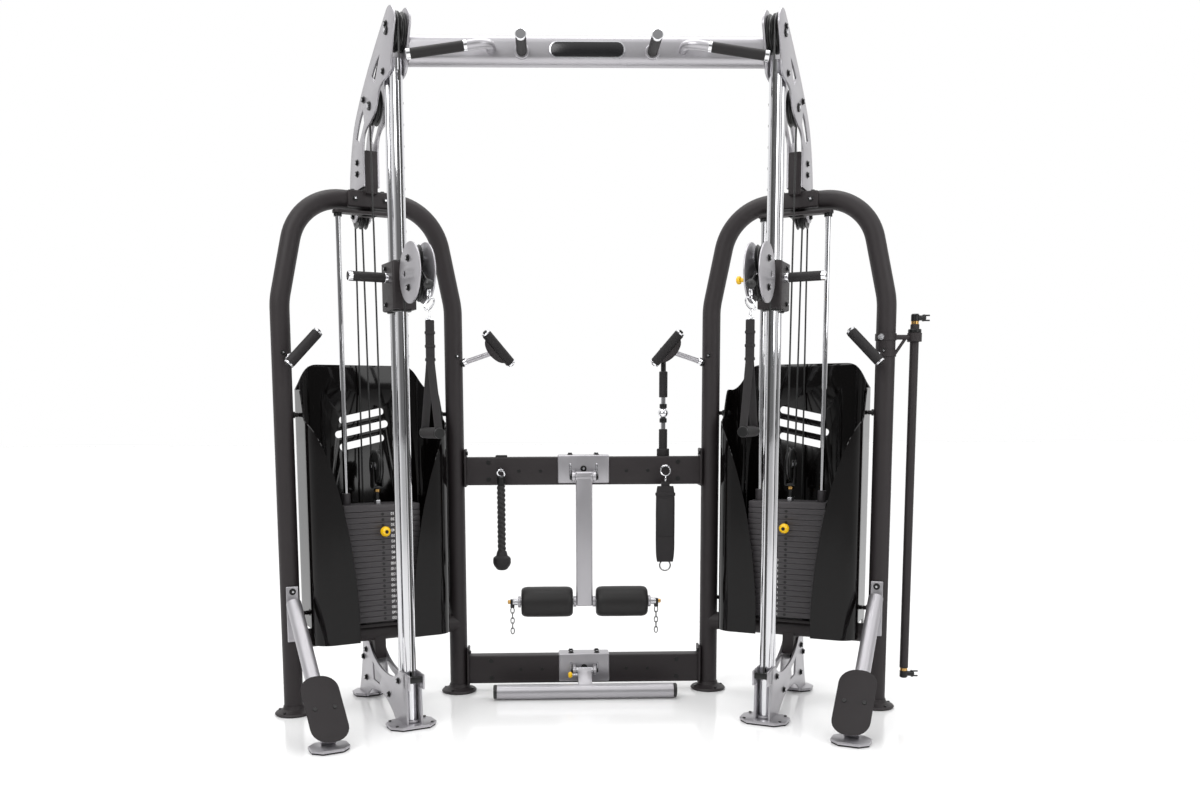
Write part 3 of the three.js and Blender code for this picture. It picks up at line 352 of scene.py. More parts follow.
def rounded(width, height, radius, centre=(0, 0)):
    """A rectangle with round corners."""
    w, h = width / 2 - radius, height / 2 - radius
    corners = [(w, h, 0), (-w, h, 90), (-w, -h, 180), (w, -h, 270)]
    return [
        (a + centre[0], b + centre[1])
        for x, y, start in corners
        for a, b in arc((x, y), radius, start, start + 90, 6)
    ]


class Piece:
    """One object gathered from several shapes, each with its own finish."""

    def __init__(self, name):
        self.name = name
        self.shape = bmesh.new()
        self.finishes = []

    def add(self, shape, look, turn=None):
        points, faces = shape
        if look not in self.finishes:
            self.finishes.append(look)
        corners = [self.shape.verts.new(turn @ Vector(p) if turn else p) for p in points]
        for face in faces:
            made = self.shape.faces.new([corners[i] for i in face])
            made.material_index = self.finishes.index(look)
            made.smooth = True
        return self

    def bolt(self, at, axis, size=9, look=None):
        """A washer and a hexagon head that stand out along axis."""
        start = Vector(at)
        out = Vector(axis).normalized()
        self.add(rod(start, start + out * 2, size * 1.35, 0.4), look or BLACK_STEEL)
        self.add(rod(start + out * 2, start + out * (2 + size * 0.65), size, 0.8, 6), look or BLACK_STEEL)
        self.add(rod(start + out * 2, start + out * (2.6 + size * 0.65), size * 0.45, 0.2), STEEL)
        return self

    def place(self, matrix, body, nodes, slot):
        """Puts the piece in the row frame, on its body, in place of its CAD nodes."""
        bmesh.ops.remove_doubles(self.shape, verts=self.shape.verts[:], dist=0.002)
        self.shape.transform(matrix @ Matrix.Scale(0.001, 4))
        bmesh.ops.recalc_face_normals(self.shape, faces=self.shape.faces[:])
        mesh = bpy.data.meshes.new(self.name)
        self.shape.to_mesh(mesh)
        self.shape.free()
        for look in self.finishes:
            mesh.materials.append(look)
        mesh.set_sharp_from_angle(angle=math.radians(32))
        made = bpy.data.objects.new(self.name, mesh)
        bpy.context.scene.collection.objects.link(made)
        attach(made, body)
        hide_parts(*nodes)
        return made


# ---- where the towers stand ----------------------------------------------------------------------
def tower_matrix(side):
    """Out along the arch, back and up, from the middle of the tower's foot. The left tower is mirrored."""
    mirror = 1 if side == "right" else -1
    wheels = JOINTS[side + "_arch_wheels_spin"]
    out = Vector(wheels["axis"]) * mirror
    back = Vector(JOINTS[side + "_head_swivel"]["axis"])
    origin = Vector(wheels["pos_m"]) - back * (ARCH_AXLE[0] / 1000)
    origin.z = 0
    return Matrix.Translation(origin) @ Matrix((out, back, (0, 0, 1))).transposed().to_4x4()


TOWERS = {side: tower_matrix(side) for side in ("right", "left")}
COLUMN_LOW, COLUMN_HIGH = (Vector(corner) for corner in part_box("right_column"))
middle = (TOWERS["right"].translation + TOWERS["left"].translation) / 2
CENTRE = Matrix.Translation((middle.x, (COLUMN_LOW.y + COLUMN_HIGH.y) / 2, 0))


# ---- camera, floor and light ----------------------------------------------------------------------
def add_camera():
    data = bpy.data.cameras.new("camera")
    data.sensor_width = 36
    data.lens = 31.53
    data.shift_x = 0.0205
    data.shift_y = 0.1132
    data.clip_end = 50
    camera = bpy.data.objects.new("camera", data)
    camera.location = CENTRE @ Vector((-0.1325, -3.2684, 0.9885))
    yaw, pitch, roll = (math.radians(angle) for angle in (-1.618, 90 - 6.686, -0.25))
    turn = Matrix.Rotation(yaw, 4, "Z") @ Matrix.Rotation(pitch, 4, "X") @ Matrix.Rotation(roll, 4, "Z")
    camera.rotation_euler = turn.to_euler()
    bpy.context.scene.collection.objects.link(camera)
    bpy.context.scene.camera = camera


def add_floor():
    mesh = bpy.data.meshes.new("floor")
    mesh.from_pydata([(-30, -30, 0), (30, -30, 0), (30, 30, 0), (-30, 30, 0)], [], [(0, 1, 2, 3)])
    mesh.materials.append(finish("floor", (0.92, 0.92, 0.92), 0.14, grain=40, depth=0.01, mottle=0.01))
    floor = bpy.data.objects.new("floor", mesh)
    bpy.context.scene.collection.objects.link(floor)


def add_light(name, at, size, power, target=(0, 0, 1.0)):
    data = bpy.data.lights.new(name, "AREA")
    data.shape = "RECTANGLE"
    data.size, data.size_y = size
    data.energy = power
    lamp = bpy.data.objects.new(name, data)
    lamp.location = at
    lamp.rotation_euler = (Vector(target) - Vector(at)).to_track_quat("-Z", "Y").to_euler()
    bpy.context.scene.collection.objects.link(lamp)


def add_world():
    """White to look at, and darker towards the front, so that polished tubes show an edge."""
    world = bpy.data.worlds.new("studio")
    world.use_nodes = True
    nodes, links = world.node_tree.nodes, world.node_tree.links
    direction = nodes.new("ShaderNodeTexCoord")
    parts = nodes.new("ShaderNodeSeparateXYZ")
    depth = nodes.new("ShaderNodeMapRange")
    depth.inputs["From Min"].default_value = -0.75
    depth.inputs["From Max"].default_value = 0.35
    depth.inputs["To Min"].default_value = 0.16
    depth.inputs["To Max"].default_value = 1.0
    height = nodes.new("ShaderNodeMapRange")
    height.inputs["From Min"].default_value = 0.2
    height.inputs["From Max"].default_value = 0.7
    height.inputs["To Max"].default_value = 1.3
    brighter = nodes.new("ShaderNodeMath")
    brighter.operation = "MAXIMUM"
    seen = nodes.new("ShaderNodeLightPath")
    white = nodes.new("ShaderNodeMath")
    white.operation = "MAXIMUM"
    links.new(direction.outputs["Generated"], parts.inputs["Vector"])
    links.new(parts.outputs["Y"], depth.inputs["Value"])
    links.new(parts.outputs["Z"], height.inputs["Value"])
    links.new(depth.outputs["Result"], brighter.inputs[0])
    links.new(height.outputs["Result"], brighter.inputs[1])
    links.new(brighter.outputs[0], white.inputs[0])
    links.new(seen.outputs["Is Camera Ray"], white.inputs[1])
    nodes["Background"].inputs["Color"].default_value = (1, 1, 1, 1)
    links.new(white.outputs[0], nodes["Background"].inputs["Strength"])
    bpy.context.scene.world = world
    bpy.context.scene.view_settings.view_transform = "Standard"


# ---- the loose rope --------------------------------------------------------------------------------
def triceps_rope():
    """Three strands twisted round each other, hanging from the ferrule."""
    sides, turns, steps = 36, 4.5, 90
    points, faces = [], []
    for i in range(steps + 1):
        z = ROPE_TOP + (ROPE_END - ROPE_TOP) * i / steps
        for k in range(sides):
            angle = 2 * math.pi * k / sides
            strand = 3 * (angle - 2 * math.pi * turns * i / steps)
            radius = 14.6 * (0.7 + 0.3 * abs(math.cos(strand / 2)))
            points.append(Vector((ROPE[0] + radius * math.cos(angle), ROPE[1] + radius * math.sin(angle), z)))
    for i in range(steps):
        for k in range(sides):
            after = (k + 1) % sides
            faces.append([i * sides + k, i * sides + after, (i + 1) * sides + after, (i + 1) * sides + k])
    faces.append(list(range(sides)))
    faces.append([steps * sides + k for k in range(sides)])
    rope = Piece("rope").add((points, faces), ROPE_FIBRE)
    made = rope.place(CENTRE, "frame", ["triceps_rope"], "rope_fibre")
    cup = Piece("rope_cup").add(
        lathe(
            [(0, ROPE_END - 0.3), (15, ROPE_END - 0.3), (17, ROPE_END - 3), (20, 496), (29, 489), (31, 483),
             (31, 470), (27, 460), (18, 448), (12, 445.4), (0, 445.4)],
            (ROPE[0], ROPE[1], 0),
        ),
        RUBBER,
    )
    cup_made = cup.place(CENTRE, "frame", ["rope_end"], "rope_cup")


# ---- towers: arch, plates and columns -----------------------------------------------------------------
def arch_path():
    """The arch's centreline from one foot to the other."""
    lean = arc((LEG_X - LEAN_BEND_R, LEG_STRAIGHT), LEAN_BEND_R, 0, 12, 6)
    corner_z = ARCH_HEIGHT - CORNER_BEND_R
    start_z = corner_z + CORNER_BEND_R * math.sin(LEG_LEAN)
    start_x = lean[-1][0] - (start_z - lean[-1][1]) * math.tan(LEG_LEAN)
    corner_x = start_x - CORNER_BEND_R * math.cos(LEG_LEAN)
    half = [(LEG_X, 8), *lean, *arc((corner_x, corner_z), CORNER_BEND_R, 12, 90, 16)]
    whole = half + [(-x, z) for x, z in reversed(half)]
    return [(x, 0, z) for x, z in whole]


def arch_frame(side):
    piece = Piece(side + "_arch")
    piece.add(sweep(arch_path(), TUBE_R, SMOOTH), POWDER)
    piece.add(rod((-LEG_X, 0, CROSS_TUBE_Z), (LEG_X, 0, CROSS_TUBE_Z), TUBE_R), POWDER)
    for x in (-LEG_X, LEG_X):
        piece.add(lathe([(0, 2), (60, 2), (62, 5), (58, 10), (44, 14), (36, 20), (33, 30), (0, 30)], (x, 0, 0)), POWDER)
        piece.add(lathe([(0, 0), (57, 0), (58, 1), (58, 3), (0, 3)], (x, 0, 0)), RUBBER)
        for turn in (40, 140, 220, 320):
            spot = Vector((x + 50 * math.cos(math.radians(turn)), 50 * math.sin(math.radians(turn)), 11))
            piece.add(rod(spot, spot + Vector((0, 0, 4)), 5, 0.5, 6), BLACK_STEEL)
    piece.add(block((-136, 136), (-52, 8), (274, 285)), POWDER)
    for x in (-60, 60):
        piece.add(rod((x, STACK_Y, 284), (x, STACK_Y, STACK_BOTTOM - 0.4), 12, 2), RUBBER)
    piece.add(block((-19.5, 19.5), (-26, 92), (158, 240), 3), POWDER)
    piece.add(block((-73, 73), (-40, 22.5), (1650, 1703), 6, 3), POWDER)
    piece.add(block((-73, 73), (20, 40), (1687, 1703), 4, 3), POWDER)
    piece.add(block((-19.6, 19.6), (-62, 84), (1690, 1824), 3), POWDER)
    for x in (-50, 50):
        piece.bolt((x, -40, 1676), (0, -1, 0), 7)
        piece.bolt((x, -12, 1703), (0, 0, 1), 7)
    for x in (-23, 23):
        ear = [(30, 1698), (30, 1640), *curve((30, 1640), (34, 1610), (66, 1612), (92, 1616), (92, 1645)), (92, 1698)]
        piece.add(plate([ear], x - 3, x + 3, "x"), SILVER)
        piece.bolt((x * 1.13, ARCH_AXLE[0], ARCH_AXLE[1]), (x, 0, 0), 9)
    piece.add(rod((-23, *ARCH_AXLE), (23, *ARCH_AXLE), 6), STEEL)
    for z in (330, 985):
        for out in (-1, 1):
            piece.add(rod((out * 240, 26, z), (out * 292, 26, z), 7), POWDER)
            piece.add(rod((out * 252, 26, z), (out * 258, 26, z), 11), BLACK_STEEL)
    for x in (-LEG_X, LEG_X):
        piece.bolt((x, -TUBE_R + 1, 1148 + 34), (0, -1, 0), 6)
    if side == "right":
        bar_holder(piece)
    return piece


def bar_holder(piece):
    """The long bar's bracket on the outer leg."""
    to_tower = TOWERS["right"].inverted() @ CENTRE
    spot = to_tower @ (Vector((*LONG_BAR, 0)) / 1000) * 1000
    leg = Vector((LEG_X + TUBE_R - 4, 0, HOLDER_Z))
    end = Vector((spot.x, spot.y, HOLDER_Z))
    inward = (leg - end).normalized()
    piece.add(ring((spot.x, spot.y, HOLDER_Z - 14), (spot.x, spot.y, HOLDER_Z + 14), 23, 15), POWDER)
    piece.add(rod(leg, end + inward * 21, 8, 1), POWDER)
    piece.add(rod(leg + Vector((0, 0, -58)), end + inward * 34 + Vector((0, 0, -6)), 5, 1), POWDER)
    piece.add(ring((LEG_X, 0, HOLDER_Z - 62), (LEG_X, 0, HOLDER_Z - 40), TUBE_R + 3, TUBE_R), POWDER)
    piece.add(ring((LEG_X, 0, HOLDER_Z - 10), (LEG_X, 0, HOLDER_Z + 12), TUBE_R + 3, TUBE_R), POWDER)
    piece.bolt((LEG_X - 10, -TUBE_R - 2, HOLDER_Z), (0, -1, 0), 7, STEEL)


TOP_BOLTS = [(-319, 2126), (-284, 2002), (-83, 1971), (-137, 1943), (1, 1796), (4, 1761)]


def top_plate(side, which):
    """A side plate that joins the arch's post to the column's top."""
    foot = ARCH_HEIGHT + 36
    nose = (TOP_AXLE[0] - 22, TOP_AXLE[1] + 16)
    edge = [(-58, foot), (-58, 1826)]
    edge += curve((-58, 1826), (-60, 1872), (-112, 1884))
    edge += curve((-112, 1884), (-182, 1896), (-206, 1928))
    edge += curve((-206, 1928), (-226, 1976), (-290, 1978))
    edge += curve((-290, 1978), (-352, 1980), (-352, 2012))
    edge += curve((-352, 2012), (-352, 2040), (nose[0] - 46, nose[1] - 6))
    edge += arc(nose, 46, 180, 54, 14)
    edge += curve(edge[-1], (-50, 2010), (30, 1910))
    edge += curve((30, 1910), (82, 1830), (98, foot))
    front_slot = [(-252, 2060), *curve((-252, 2060), (-200, 2046), (-168, 2020)), (-196, 1992)]
    rear_slot = [(-72, 1944), *curve((-72, 1944), (-20, 1920), (10, 1872)), (-22, 1852), (-80, 1902)]
    low, high = (CHEEK_IN, CHEEK_OUT) if which == "outer" else (-CHEEK_OUT, -CHEEK_IN)
    out = 1 if which == "outer" else -1
    piece = Piece(f"{side}_top_plate_{which}")
    piece.add(plate([edge, front_slot, rear_slot], low, high, "x", 1.2), SILVER)
    for y, z in TOP_BOLTS:
        piece.bolt((out * CHEEK_OUT, y, z), (out, 0, 0), 8)
    if which == "outer":
        for axle in (TOP_AXLE, MID_AXLE):
            piece.add(rod((-CHEEK_OUT - 8, *axle), (CHEEK_OUT + 8, *axle), 6), STEEL)
            piece.add(rod((CHEEK_OUT, *axle), (CHEEK_OUT + 5, *axle), 13), BLACK_STEEL)
            piece.add(rod((-CHEEK_OUT - 5, *axle), (-CHEEK_OUT - 0.4, *axle), 13), BLACK_STEEL)
    return piece


def octagon(width, depth, centre):
    """A rectangle with cut corners whose edges are slightly round."""
    w, d, c = width / 2, depth / 2, min(width, depth) * 0.28
    corners = [(w, d - c), (w - c, d), (c - w, d), (-w, d - c), (-w, c - d), (c - w, -d), (w - c, -d), (w, c - d)]
    return [(a + centre[0], b + centre[1]) for a, b in corners]


def column_base(side):
    """Two side plates from the cross tube down to the column's foot, on two floor flanges."""
    piece = Piece(side + "_column_base")
    edge = [(92, 210), (20, 210)]
    edge += curve((20, 210), (-40, 140), (-190, 140))
    edge += curve((-190, 140), (-262, 142), (-300, 178))
    edge += [(-352, 178), (-362, 8), (-248, 8)]
    edge += curve((-248, 8), (-160, 72), (-60, 60))
    edge += curve((-60, 60), (30, 50), (62, 8))
    edge += [(150, 8)]
    edge += curve((150, 8), (112, 60), (92, 210))
    window = [(-14, 150), *curve((-14, 150), (-60, 122), (-110, 118)), (-84, 84), (-20, 88)]
    for low, high in ((CHEEK_IN, CHEEK_OUT), (-CHEEK_OUT, -CHEEK_IN)):
        piece.add(plate([edge, window], low, high, "x", 1.2), SILVER)
        out = 1 if low > 0 else -1
        for y, z in ((55, 177), (88, 146), (58, 78), (-189, 75), (-285, 142)):
            piece.bolt((out * CHEEK_OUT, y, z), (out, 0, 0), 8)
    for width, depth, y in ((152, 112, COLUMN_Y), (110, 92, 122)):
        piece.add(plate([octagon(width, depth, (0, y))], 5, 14, "z", 1.5), SILVER)
        piece.add(plate([octagon(width - 5, depth - 5, (0, y))], 0, 5.5, "z", 1), RUBBER)
    for x, y in ((-58, -36), (58, -36), (-58, 36), (58, 36)):
        piece.add(rod((x, COLUMN_Y + y, 13), (x, COLUMN_Y + y, 17), 5, 0.6, 6), BLACK_STEEL)
    piece.add(ring((0, COLUMN_Y, 14), (0, COLUMN_Y, 22), 27, 20.5, 2), SILVER)
    cable_y = TOP_AXLE[0] - WHEEL_R + 1
    for low in (-CHEEK_OUT, CHEEK_IN):
        piece.add(block((low, low + 7), (cable_y - 7, COLUMN_Y - 12), (130, 177), 2), SILVER)
    for y, z in ((cable_y, 162), (ARCH_AXLE[0] + SMALL_WHEEL_R - 1, 122)):
        piece.add(block((-CHEEK_IN, CHEEK_IN), (y - 7, y + 7), (z - 10, z + 10), 2), BLACK_STEEL)
    return piece


def column(side):
    piece = Piece(side + "_column")
    piece.add(rod((0, COLUMN_Y, 14.3), (0, COLUMN_Y, 2030), 19, 1, 48), CHROME)
    # Black discs flush with the column's side, one every 62 mm, stand for the holes of the carriage's pull pin: painted
    # shade of the holes.
    for k in range(24):
        z = 480 + 62 * k
        piece.add(rod((-18, COLUMN_Y, z), (-19.15, COLUMN_Y, z), 5.5, 0.2, 20), BLACK_STEEL)
    return piece


def guide_tube(side):
    return Piece(side + "_guide").add(rod((0, GUIDE_Y, 137), (0, GUIDE_Y, 2000), 14, 1, 40), CHROME)


def guide_rods(side):
    """The stack's two rods and the black plate that holds their tops under the arch."""
    piece = Piece(side + "_rods")
    for x in (-ROD_X, ROD_X):
        piece.add(rod((x, STACK_Y, 285.3), (x, STACK_Y, 1634), 8.5, 0.6), CHROME)
        piece.add(ring((x, STACK_Y, 286), (x, STACK_Y, 294), 14, 8.6), BLACK_STEEL)
        piece.add(ring((x, STACK_Y, 1616), (x, STACK_Y, 1627), 13, 8.6), BLACK_STEEL)
    piece.add(plate([rounded(244, 40, 14, (0, -32))], 1627, 1636, "z"), POWDER)
    piece.add(block((-26, 26), (-40, 17), (1627, 1635), 2), POWDER)
    return piece


# ---- towers: shroud and stack ----------------------------------------------------------------------------
def shroud_top(x, y):
    """Height of the shroud's upper edge at a place on its plan."""
    shoulder = [(239, 1065), *curve((239, 1065), (205, 1085), (205, 1153), (150, 1153), steps=24), (0, 1153)]
    back = next(
        b[1] + (a[1] - b[1]) * (abs(x) - b[0]) / max(a[0] - b[0], 0.01)
        for a, b in zip(shoulder, shoulder[1:])
        if abs(x) >= b[0]
    )
    if y > 20:
        return back
    wing = [(90, 236), *curve((90, 236), (92, 520), (150, 830), (244, 970), steps=24)]
    front = next(
        (a[1] + (b[1] - a[1]) * (abs(x) - a[0]) / max(b[0] - a[0], 0.01)
         for a, b in zip(wing, wing[1:]) if abs(x) <= b[0]),
        970,
    )
    share = max(0.0, (y + 48) / 68)
    return front + (back - front) * share * share * (3 - 2 * share)


def shroud_side(mirror):
    """The bent side and front wing as a thin shell, from the back panel's edge round to the wing's."""
    plan = [(178, SHROUD_BACK)]
    plan += arc((SHROUD_HALF - 60, SHROUD_BACK - 60), 58, 90, 0, 10)
    plan += [(SHROUD_HALF - 2, y) for y in range(60, -48, -12)]
    plan += arc((SHROUD_HALF - 60, SHROUD_FRONT + 60), 58, 0, -90, 10)
    plan += [(x, SHROUD_FRONT + 2) for x in range(170, 92, -6)] + [(93, SHROUD_FRONT + 2)]
    points, faces = [], []
    rows = 24
    for i, (x, y) in enumerate(plan):
        before = Vector(plan[max(i - 1, 0)])
        after = Vector(plan[min(i + 1, len(plan) - 1)])
        along = (after - before).normalized()
        normal = Vector((-along.y, along.x))
        top = shroud_top(x, y)
        low = 300 if y > 60 else 290 if abs(y) < 38 else 237
        low = min(low, top - 2)
        for k in range(rows + 1):
            z = low + (top - low) * k / rows
            for depth in (2, -2):
                points.append((mirror * (x + normal.x * depth), y + normal.y * depth, z))
    stride = 2 * (rows + 1)
    for i in range(len(plan) - 1):
        for k in range(rows):
            a, b = i * stride + 2 * k, (i + 1) * stride + 2 * k
            faces.append([a, b, b + 2, a + 2])
            faces.append([a + 1, a + 3, b + 3, b + 1])
        for k in (0, rows):
            a, b = i * stride + 2 * k, (i + 1) * stride + 2 * k
            faces.append([a, a + 1, b + 1, b])
    for i in (0, len(plan) - 1):
        for k in range(rows):
            a = i * stride + 2 * k
            faces.append([a, a + 1, a + 3, a + 2])
    return points, faces


def shroud(side):
    """A gloss black shell round the stack, with three slanted slots in its back."""
    piece = Piece(side + "_shroud")
    top = [(178, shroud_top(178, SHROUD_BACK)), *[(x, shroud_top(x, SHROUD_BACK)) for x in range(174, 148, -4)]]
    edge = [(-178, 306), (178, 306), *top, *[(-x, z) for x, z in reversed(top)]]
    slots = []
    for row in (-1, 0, 1):
        tilt = math.radians(12)
        shape = rounded(190 - 30 * abs(row), 24, 11)
        turned = [(a * math.cos(tilt) + b * math.sin(tilt), b * math.cos(tilt) - a * math.sin(tilt)) for a, b in shape]
        slots.append([(a, b + 935 + 46 * row) for a, b in turned])
    piece.add(plate([edge, *slots], SHROUD_BACK - 4, SHROUD_BACK, "y"), SHROUD)
    for mirror in (-1, 1):
        piece.add(shroud_side(mirror), SHROUD)
        for z in (330, 985):
            piece.add(rod((mirror * 232, 26, z), (mirror * 236, 26, z), 9), BLACK_STEEL)
    return piece


def weight_plate(piece, index):
    """One plate of the stack with its pin hole, drawn as a flat black disc of painted shade, and its number."""
    z = STACK_BOTTOM + index * PLATE_PITCH
    piece.add(block((-130, 130), (STACK_FRONT + 0.4, 24), (z + 0.5, z + PLATE_PITCH - 0.5), 1.6), IRON)
    middle = z + PLATE_PITCH / 2
    if abs(middle - PIN_Z) > 1:
        # The pin hole, unless the pin fills it, is a flat black disc on the plate's face: painted shade of the hole.
        piece.add(rod((0, STACK_FRONT + 1, middle), (0, STACK_FRONT - 0.1, middle), 5, 0.05, 16), BLACK_STEEL)
    piece.add(number(str(10 * (PLATE_COUNT - index)), -34, middle), WHITE)


def number(words, x, z):
    """A plain number that faces the front, raised a tenth of a millimetre."""
    text = bpy.data.curves.new("number", "FONT")
    text.body = words
    text.size = 13
    text.align_x = "CENTER"
    text.align_y = "CENTER"
    text.extrude = 0.3
    holder = bpy.data.objects.new("number", text)
    bpy.context.scene.collection.objects.link(holder)
    bpy.context.view_layer.update()
    made = bpy.data.meshes.new_from_object(holder.evaluated_get(bpy.context.evaluated_depsgraph_get()))
    points = [Vector((x + v.co.x, STACK_FRONT + 0.2 - v.co.z, z + v.co.y)) for v in made.vertices]
    faces = [list(face.vertices) for face in made.polygons]
    bpy.data.objects.remove(holder)
    bpy.data.curves.remove(text)
    bpy.data.meshes.remove(made)
    return points, faces


def weight_plates(side):
    piece = Piece(side + "_plates")
    for index in range(PLATE_COUNT - LIFTED_COUNT):
        weight_plate(piece, index)
    return piece


def head_plate(side):
    """The lifted plates, the head plate with its sleeves, the stem and the wheel's fork."""
    piece = Piece(side + "_head_plate")
    for index in range(PLATE_COUNT - LIFTED_COUNT, PLATE_COUNT):
        weight_plate(piece, index)
    piece.add(block((-130, 130), (STACK_FRONT + 0.4, 24), (STACK_TOP + 0.5, HEAD_TOP), 2.5), IRON)
    for x in (-ROD_X, ROD_X):
        piece.add(ring((x, STACK_Y, HEAD_TOP), (x, STACK_Y, HEAD_TOP + 38), 14.5, 9.4, 1.5), IRON)
    piece.add(rod((0, STACK_Y, HEAD_TOP - 2), (0, STACK_Y, FLOAT_Z - 66), 8, 0.5), BLACK_STEEL)
    piece.add(rod((0, STACK_Y, HEAD_TOP), (0, STACK_Y, HEAD_TOP + 12), 13, 1, 6), STEEL)
    piece.add(ring((0, STACK_Y, FLOAT_Z - 84), (0, STACK_Y, FLOAT_Z - 74), 10.5, 8), BRASS)
    piece.add(block((-17.5, 17.5), (-43, -17), (FLOAT_Z - 72, FLOAT_Z - 64), 2), BLACK_STEEL)
    for x in (-1, 1):
        strap = [(-50, FLOAT_Z - 68), (-10, FLOAT_Z - 68), *arc((STACK_Y, FLOAT_Z), 16, -10, 190, 12)]
        piece.add(plate([strap], 14.5 * x - 3, 14.5 * x + 3, "x"), BLACK_STEEL)
    piece.add(rod((-19, STACK_Y, FLOAT_Z), (19, STACK_Y, FLOAT_Z), 6), STEEL)
    return piece


def selector_pin(side):
    """The yellow selector knob with a dark cap on its face."""
    piece = Piece(side + "_selector")
    piece.add(rod((0, STACK_FRONT - 20, PIN_Z), (0, STACK_FRONT + 55, PIN_Z), 4.7), STEEL)
    knob = [(0, -1), (9, -1), (12, 1), (16.2, 8), (16.8, 14), (16, 20), (12, 26), (6.4, 30), (6.4, 40), (0, 40)]
    piece.add(lathe(knob, (0, STACK_FRONT - 40, PIN_Z), (0, 1, 0)), YELLOW)
    piece.add(lathe([(0, -1.5), (6, -1.4), (6.6, 0), (0, 0)], (0, STACK_FRONT - 40, PIN_Z), (0, 1, 0)), BLACK_STEEL)
    return piece


# ---- towers: pulleys and cables ----------------------------------------------------------------------------
def wheel(piece, x, axle, radius, bore=6.8):
    """A nylon pulley with a cable groove, a dished side and a steel bearing."""
    half = 8
    groove = [(radius, -half + 1.2), (radius - 1.5, -half + 2.6), (radius - 6.6, -1.6), (radius - 7, 0)]
    groove += [(r, -h) for r, h in reversed(groove[:-1])]
    profile = [(bore + 8, -half), (bore + 9, -half + 2.5), (radius - 12, -half + 2.5), (radius - 9, -half), (radius - 1, -half)]
    profile += groove + [(radius - 1, half), (radius - 9, half), (radius - 12, half - 2.5), (bore + 9, half - 2.5)]
    profile += [(bore + 8, half), (bore + 7.8, half), (bore + 7.8, -half), (bore + 8, -half)]
    piece.add(lathe(profile, (x, *axle), (1, 0, 0), 2 * SMOOTH), NYLON)
    piece.add(ring((x - half, *axle), (x + half, *axle), bore + 7.6, bore, 0.4), STEEL)


def cable_path(*runs):
    """Points of a cable in a tower's middle plane or beside it."""
    return [Vector((x, y, z)) for x, run in runs for y, z in run]


def column_cable(side):
    radius = WHEEL_R - 1
    leave = math.degrees(math.atan2(MID_AXLE[1] - TOP_AXLE[1], MID_AXLE[0] - TOP_AXLE[0])) + 90
    foot = (TOP_AXLE[0] - radius, 154)
    path = cable_path(
        (PAIR_X, [foot, *arc(TOP_AXLE, radius, 180, leave, 20), *arc(MID_AXLE, radius, leave, 0, 12)]),
        (6, [(MID_AXLE[0] + radius, ARCH_HEIGHT - 76)]),
    )
    return Piece(side + "_column_cable").add(sweep(path, CABLE_R, 12), CABLE)


def stack_loop(side):
    """The run round the floating wheel, which on the machine shortens as the stack rises; here it is drawn at one fixed
    length.
    """
    radius = WHEEL_R - 1
    wheel_axle = (STACK_Y, FLOAT_Z)
    path = cable_path(
        (6, [(STACK_Y - radius, ARCH_HEIGHT - 76.3)]),
        (0, arc(wheel_axle, radius, 180, 360, 24)),
        (PAIR_X, [(ARCH_AXLE[0] - SMALL_WHEEL_R + 1, 1600)]),
    )
    return Piece(side + "_stack_loop").add(sweep(path, CABLE_R, 12), CABLE)


def rear_run(side):
    """Over the arch pulley and down behind the stack."""
    radius = SMALL_WHEEL_R - 1
    top = [(ARCH_AXLE[0] - radius, 1600), *arc(ARCH_AXLE, radius, 180, 0, 16), (ARCH_AXLE[0] + radius, 114)]
    return Piece(side + "_rear_run").add(sweep(cable_path((PAIR_X, top)), CABLE_R, 12), CABLE)


# ---- towers: carriage, head and handle -----------------------------------------------------------------------
def carriage(side):
    """A black block on the column and guide tube, with a side handle and the head's socket."""
    piece = Piece(side + "_carriage")
    low, high = CARRIAGE_Z
    front = COLUMN_Y - 36
    edge = [(37, GUIDE_Y), (24, GUIDE_Y + 26), (-24, GUIDE_Y + 26), (-37, GUIDE_Y), (-37, front + 8)]
    edge += [*curve((-37, front + 8), (-37, front), (-28, front), steps=5)]
    edge += [(28, front), *curve((28, front), (37, front), (37, front + 8), steps=5)]
    bores = [arc((0, COLUMN_Y), 20.5, 0, 348, 29), arc((0, GUIDE_Y), 15.4, 0, 345, 23)]
    piece.add(plate([edge, *bores], low + 5, high - 5, "z", 2), POWDER)
    for z in (low, high - 6):
        piece.add(ring((0, COLUMN_Y, z), (0, COLUMN_Y, z + 6), 30, 19.8, 1.5), NYLON)
        piece.add(ring((0, GUIDE_Y, z), (0, GUIDE_Y, z + 6), 22, 14.8, 1.5), NYLON)
    piece.add(rod((0, DISC_Y + DISC_R - 1, HEAD_Z), (0, front + 2, HEAD_Z), 16, 1), BLACK_STEEL)
    for z in (low + 22, high - 22):
        piece.bolt((37, COLUMN_Y + 34, z), (1, 0, 0), 6)
    handle = (COLUMN_Y, HEAD_Z)
    piece.add(rod((36, *handle), (52, *handle), 15, 1), CHROME)
    piece.add(rod((51, *handle), (150, *handle), 14.6, 1.2), RUBBER)
    piece.add(rod((149, *handle), (164, *handle), 15, 2), CHROME)
    piece.add(rod((163, *handle), (164.8, *handle), 6, 0.4), BLACK_STEEL)
    return piece


def lock_pin(side):
    """The carriage's pull knob, which stands out further on the right tower."""
    piece = Piece(side + "_lock_pin")
    end = -37 - PIN_REACH[side]
    piece.add(rod((end + 10, COLUMN_Y, HEAD_Z), (-25, COLUMN_Y, HEAD_Z), 4.7, 0.5), STEEL)
    knob = [(0, 0), (8, 0), (12, 3), (13, 8), (12, 12), (7, 15), (6, 20), (6, 30), (0, 30)]
    piece.add(lathe(knob, (end, COLUMN_Y, HEAD_Z), (1, 0, 0)), YELLOW)
    return piece


